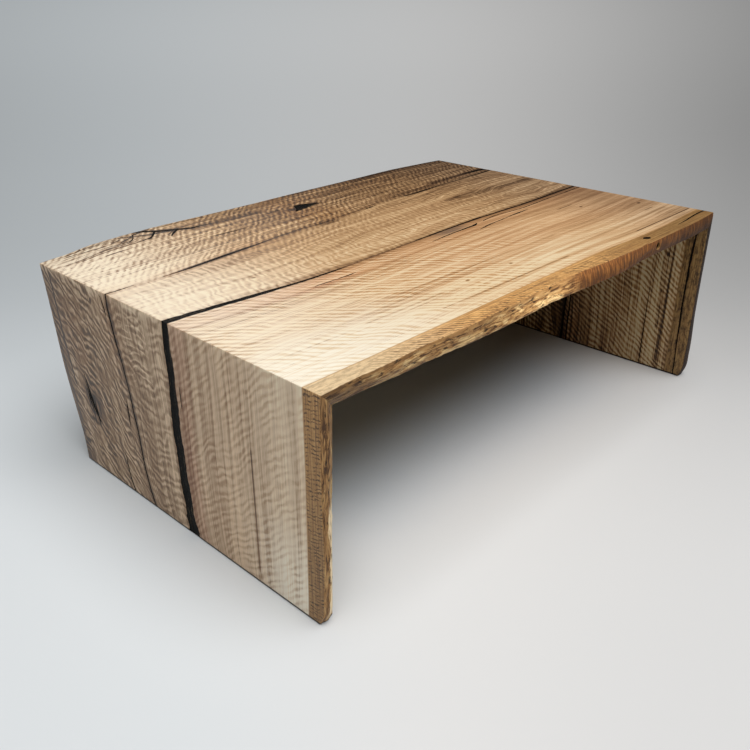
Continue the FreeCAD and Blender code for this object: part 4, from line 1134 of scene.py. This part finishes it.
class WATERFALL_OT_fillings(bpy.types.Operator):
    """Cut each vein, crack and knot out of its board, and pour the resin that fills it"""
    bl_idname = "waterfall.fillings"
    bl_label = "Fillings"

    def execute(self, context):
        settings = context.scene.waterfall_resin
        boards = {board: bpy.data.objects[board.piece] for board in (TOP, LEFT, RIGHT)}
        whole = {board: thing.data.copy() for board, thing in boards.items()}
        finish = poured_resin(context.scene.waterfall_finish)
        for number, (board, piece, node, veins, share, ragged) in enumerate(FILLINGS):
            place = inside_right_leg if piece in INNER_FACE_FILLINGS else board.place
            parts = [(place, rows, share, 100 + 7 * number + 31 * turn) for turn, rows in enumerate(veins)]
            if piece == "resin_front_crack_right":
                parts.append((inside_right_leg, FRONT_CRACK_INNER, BRANCH_DEPTH_SHARE, 909))
            floor = UPRIGHT if veins == (KNOT,) else FLOOR_SHARE
            cutters, resins = [], []
            for where, rows, depth_share, seed in parts:
                walls = vein_walls(board, rows, ragged, seed)
                above = np.full((len(walls[0]), 2), -CUTTER_RISE)
                below = poured_top(walls, settings.sink, settings.dish, 300 + number)
                for shapes, top in ((cutters, above), (resins, below)):
                    rings = vein_rings(where, walls, depth_share * THICKNESS, floor, top)
                    mesh = tube_mesh("filling", rings, where is on_right_leg)
                    shapes.append(add_object("filling", mesh))
            if piece == "resin_front_crack_top":
                for shapes, stations in ((cutters, HOLE_RINGS), (resins, HOLE_RESIN_RINGS)):
                    rings = hole_rings(stations + (settings.hole_depth - DEPTH / 2,))
                    shapes.append(add_object("hole", tube_mesh("hole", rings, True)))
            resin = resins[0]
            if len(resins) > 1:
                combine(resin, resins[1:], "UNION")
            combine(resin, [add_object("trim", whole[board].copy())], "INTERSECT")
            combine(boards[board], cutters, "DIFFERENCE")
            resin.name = resin.data.name = piece
            finish_off(resin, finish, degrees=40)
            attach(resin, "root")
            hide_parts(node)
        for mesh in whole.values():
            bpy.data.meshes.remove(mesh)
        return {"FINISHED"}


class WATERFALL_OT_wood_finish(bpy.types.Operator):
    """Give each board its figured wood, and let it stand for its solid"""
    bl_idname = "waterfall.wood_finish"
    bl_label = "Wood finish"

    def execute(self, context):
        for board in (TOP, LEFT, RIGHT):
            thing = bpy.data.objects[board.piece]
            finish_off(thing, plank_wood(board, context.scene.waterfall_finish), degrees=38)
            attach(thing, "root")
            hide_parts(SLAB_NODES[board.piece])
        return {"FINISHED"}


class WATERFALL_OT_tenons(bpy.types.Operator):
    """Give the loose tenons bare beech"""
    bl_idname = "waterfall.tenons"
    bl_label = "Loose tenons"

    def execute(self, context):
        finish = bare_beech()
        for node in ("left_mitre_tenons", "right_mitre_tenons"):
            dress(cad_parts[node], finish)
        return {"FINISHED"}


class WATERFALL_OT_felt_strips(bpy.types.Operator):
    """Give the strips under the legs pressed felt"""
    bl_idname = "waterfall.felt_strips"
    bl_label = "Felt strips"

    def execute(self, context):
        finish = pressed_felt()
        for node in ("left_glide_strip", "right_glide_strip"):
            dress(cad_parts[node], finish)
        return {"FINISHED"}


def add_lamp(name, kind, place, target, size, strength, colour):
    """A lamp that shines from its place towards the target. A sun's size is the angle of its
    disc in degrees, an area lamp's is width and height in metres."""
    data = bpy.data.lights.new(name, kind)
    if kind == "SUN":
        data.angle = math.radians(size)
    else:
        data.shape = "RECTANGLE"
        data.size, data.size_y = size
    data.energy = strength
    data.color = colour
    lamp = add_object(name, data)
    lamp.visible_diffuse = kind == "SUN"
    lamp.location = place
    way = np.array(target, float) - np.array(place, float)
    lamp.rotation_euler = (math.atan2(math.hypot(way[0], way[1]), -way[2]), 0,
                           math.atan2(way[1], way[0]) - math.pi / 2)


LAMPS = (
    ("lamp_over", "SUN", (-0.10, -1.05, 3.0), (0.0, 0.0, 0.0), 60, 3.6, (1.0, 0.995, 0.985)),
    ("lamp_behind", "AREA", (1.0, 2.6, 1.8), (-0.45, 0.0, 0.4), (1.6, 0.9), 7.0, (1.0, 0.99, 0.96)),
)


# Distance from the camera's foot in metres, and how pale the floor is there: a painted falloff of the light
FLOOR_FALLOFF_TONES = ((0.3, 0.7), (1.0, 0.7), (1.5, 0.655), (2.0, 0.55), (2.7, 0.475), (4.0, 0.475), (6.0, 0.48),
               (12.0, 0.5), (40.0, 0.47))
FLOOR_RADIUS = 40.0


def floor_finish(stage):
    """Studio floor: a pale tone that greys with the distance from the camera's foot and towards the sides, a
    painted falloff of the light, with painted cool light on the left and under the table, a painted shadow
    under it and a painted pool of light in front of it."""
    g, finish = new_finish("studio_floor")
    across, deep = g.place()[:2]
    x, y = across - stage.eye[0], deep - stage.eye[1]
    ahead = (-math.sin(stage.heading), math.cos(stage.heading))
    forward = g.most(g.sum_of(x, ahead[0], y, ahead[1]), 0.2)
    aside = g.math("DIVIDE", g.sum_of(x, ahead[1], y, -ahead[0]), forward)
    far = g.math("LOGARITHM", forward, 10.0)
    # Painted falloff: the floor greys with the distance from the camera's foot and towards the sides, standing
    # in for light that falls off
    rows = [(math.log10(distance) / 2.5 + 0.4, value) for distance, value in FLOOR_FALLOFF_TONES]
    tone = g.curve(far, rows, 1 / 2.5, 0.4)
    left, right = g.fade(aside, -0.05, -0.75, 0.0, 0.3), g.fade(aside, 0.0, 0.6, 0.0, 0.55)
    side = (left + right) * g.fade(far, 0.0, 0.75, 0.1, 1.0)
    level = tone * (1.0 - side)
    # Painted cool light: a bluish tint on the left
    painted_cool_light = g.fade(aside, 0.2, -0.4) * g.fade(far, -0.1, 0.5, 0.7, 1.0)
    colour = g.mix(painted_cool_light, (1.0, 1.0, 1.0), (0.92, 0.985, 1.03))
    # Painted cool shade: a bluish tint under the table, against the warm light thrown back by the wood
    painted_cool_shade = g.between(across, -0.45, 0.45, 0.15) * g.between(deep, -0.22, 0.4, 0.18)
    colour = g.mix(painted_cool_shade, colour, (0.9, 1.04, 1.2))
    # Painted shadow and light: darker under the table and a lighter strip in front of it
    along = g.between(across, -0.48, 0.6, 0.08)
    painted_shadow_and_glow = g.hill(deep, -0.25, 0.19) * 0.28 - g.between(deep, -0.06, 0.42, 0.08) * 0.24
    level = level * g.muladd(along, painted_shadow_and_glow, 1.0)
    return finish(g.shade(colour, level), 0.7, None, 0.2)


class WATERFALL_OT_stage(bpy.types.Operator):
    """Lay the studio floor, set the lamps and the even light, and place the camera"""
    bl_idname = "waterfall.stage"
    bl_label = "Stage"

    def execute(self, context):
        stage = context.scene.waterfall_stage
        reach = np.linspace(0, 1, 40)[1:, None] ** 3 * FLOOR_RADIUS
        turn = np.linspace(0, 2 * math.pi, 64, endpoint=False)[None, :]
        rings = np.stack([reach * np.cos(turn), reach * np.sin(turn), 0 * reach * turn], -1)
        index, faces = ring_faces(rings)
        floor = add_object("studio_floor", new_mesh("studio_floor", rings, faces, [index[0]]))
        floor.data.materials.append(floor_finish(stage))
        for lamp in LAMPS:
            add_lamp(*lamp)
        world = bpy.data.worlds.new("studio")
        context.scene.world = world
        world.use_nodes = True
        sky = world.node_tree.nodes["Background"]
        sky.inputs["Color"].default_value = (0.93, 0.97, 1.0, 1)
        sky.inputs["Strength"].default_value = stage.sky_power
        nodes, links = world.node_tree.nodes, world.node_tree.links
        seen, choice, path = (nodes.new("ShaderNode" + kind) for kind in
                              ("Background", "MixShader", "LightPath"))
        seen.inputs["Color"].default_value = (0.60, 0.61, 0.62, 1)
        links.new(path.outputs["Is Camera Ray"], choice.inputs[0])
        links.new(sky.outputs[0], choice.inputs[1])
        links.new(seen.outputs[0], choice.inputs[2])
        links.new(choice.outputs[0], nodes["World Output"].inputs["Surface"])
        data = bpy.data.cameras.new("camera")
        data.lens = stage.lens
        data.sensor_width = 36.0
        data.clip_start, data.clip_end = 0.02, 100.0
        camera = add_object("camera", data)
        camera.location = stage.eye
        camera.rotation_euler = (stage.tilt, 0.0, stage.heading)
        context.scene.camera = camera
        context.scene.view_settings.view_transform = "Standard"
        return {"FINISHED"}


class WATERFALL_PT_sidebar(bpy.types.Panel):
    """Sizes and colours of the table, and a button for each group of pieces"""
    bl_idname = "WATERFALL_PT_sidebar"
    bl_label = "Waterfall table"
    bl_space_type = "VIEW_3D"
    bl_region_type = "UI"
    bl_category = "Waterfall"

    def draw(self, context):
        for name in GROUPS:
            group = getattr(context.scene, name)
            box = self.layout.box()
            box.label(text=name.removeprefix("waterfall_").title())
            for entry in group.__annotations__:
                box.prop(group, entry)
        for step in STEPS:
            self.layout.operator(step.bl_idname)


GROUPS = {
    "waterfall_boards": BoardSettings,
    "waterfall_resin": ResinSettings,
    "waterfall_finish": FinishSettings,
    "waterfall_stage": StageSettings,
}
STEPS = (WATERFALL_OT_boards, WATERFALL_OT_mortises, WATERFALL_OT_fillings, WATERFALL_OT_wood_finish,
         WATERFALL_OT_tenons, WATERFALL_OT_felt_strips, WATERFALL_OT_stage)


def register():
    for group in GROUPS.values():
        bpy.utils.register_class(group)
    for name, group in GROUPS.items():
        setattr(bpy.types.Scene, name, bpy.props.PointerProperty(type=group))
    for step in STEPS:
        bpy.utils.register_class(step)
    bpy.utils.register_class(WATERFALL_PT_sidebar)


def unregister():
    bpy.utils.unregister_class(WATERFALL_PT_sidebar)
    for step in reversed(STEPS):
        bpy.utils.unregister_class(step)
    for name in GROUPS:
        delattr(bpy.types.Scene, name)
    for group in reversed(GROUPS.values()):
        bpy.utils.unregister_class(group)


def main():
    register()
    bpy.ops.waterfall.boards()
    bpy.ops.waterfall.mortises()
    bpy.ops.waterfall.fillings()
    bpy.ops.waterfall.wood_finish()
    bpy.ops.waterfall.tenons()
    bpy.ops.waterfall.felt_strips()
    bpy.ops.waterfall.stage()


if __name__ == "__main__":
    main()
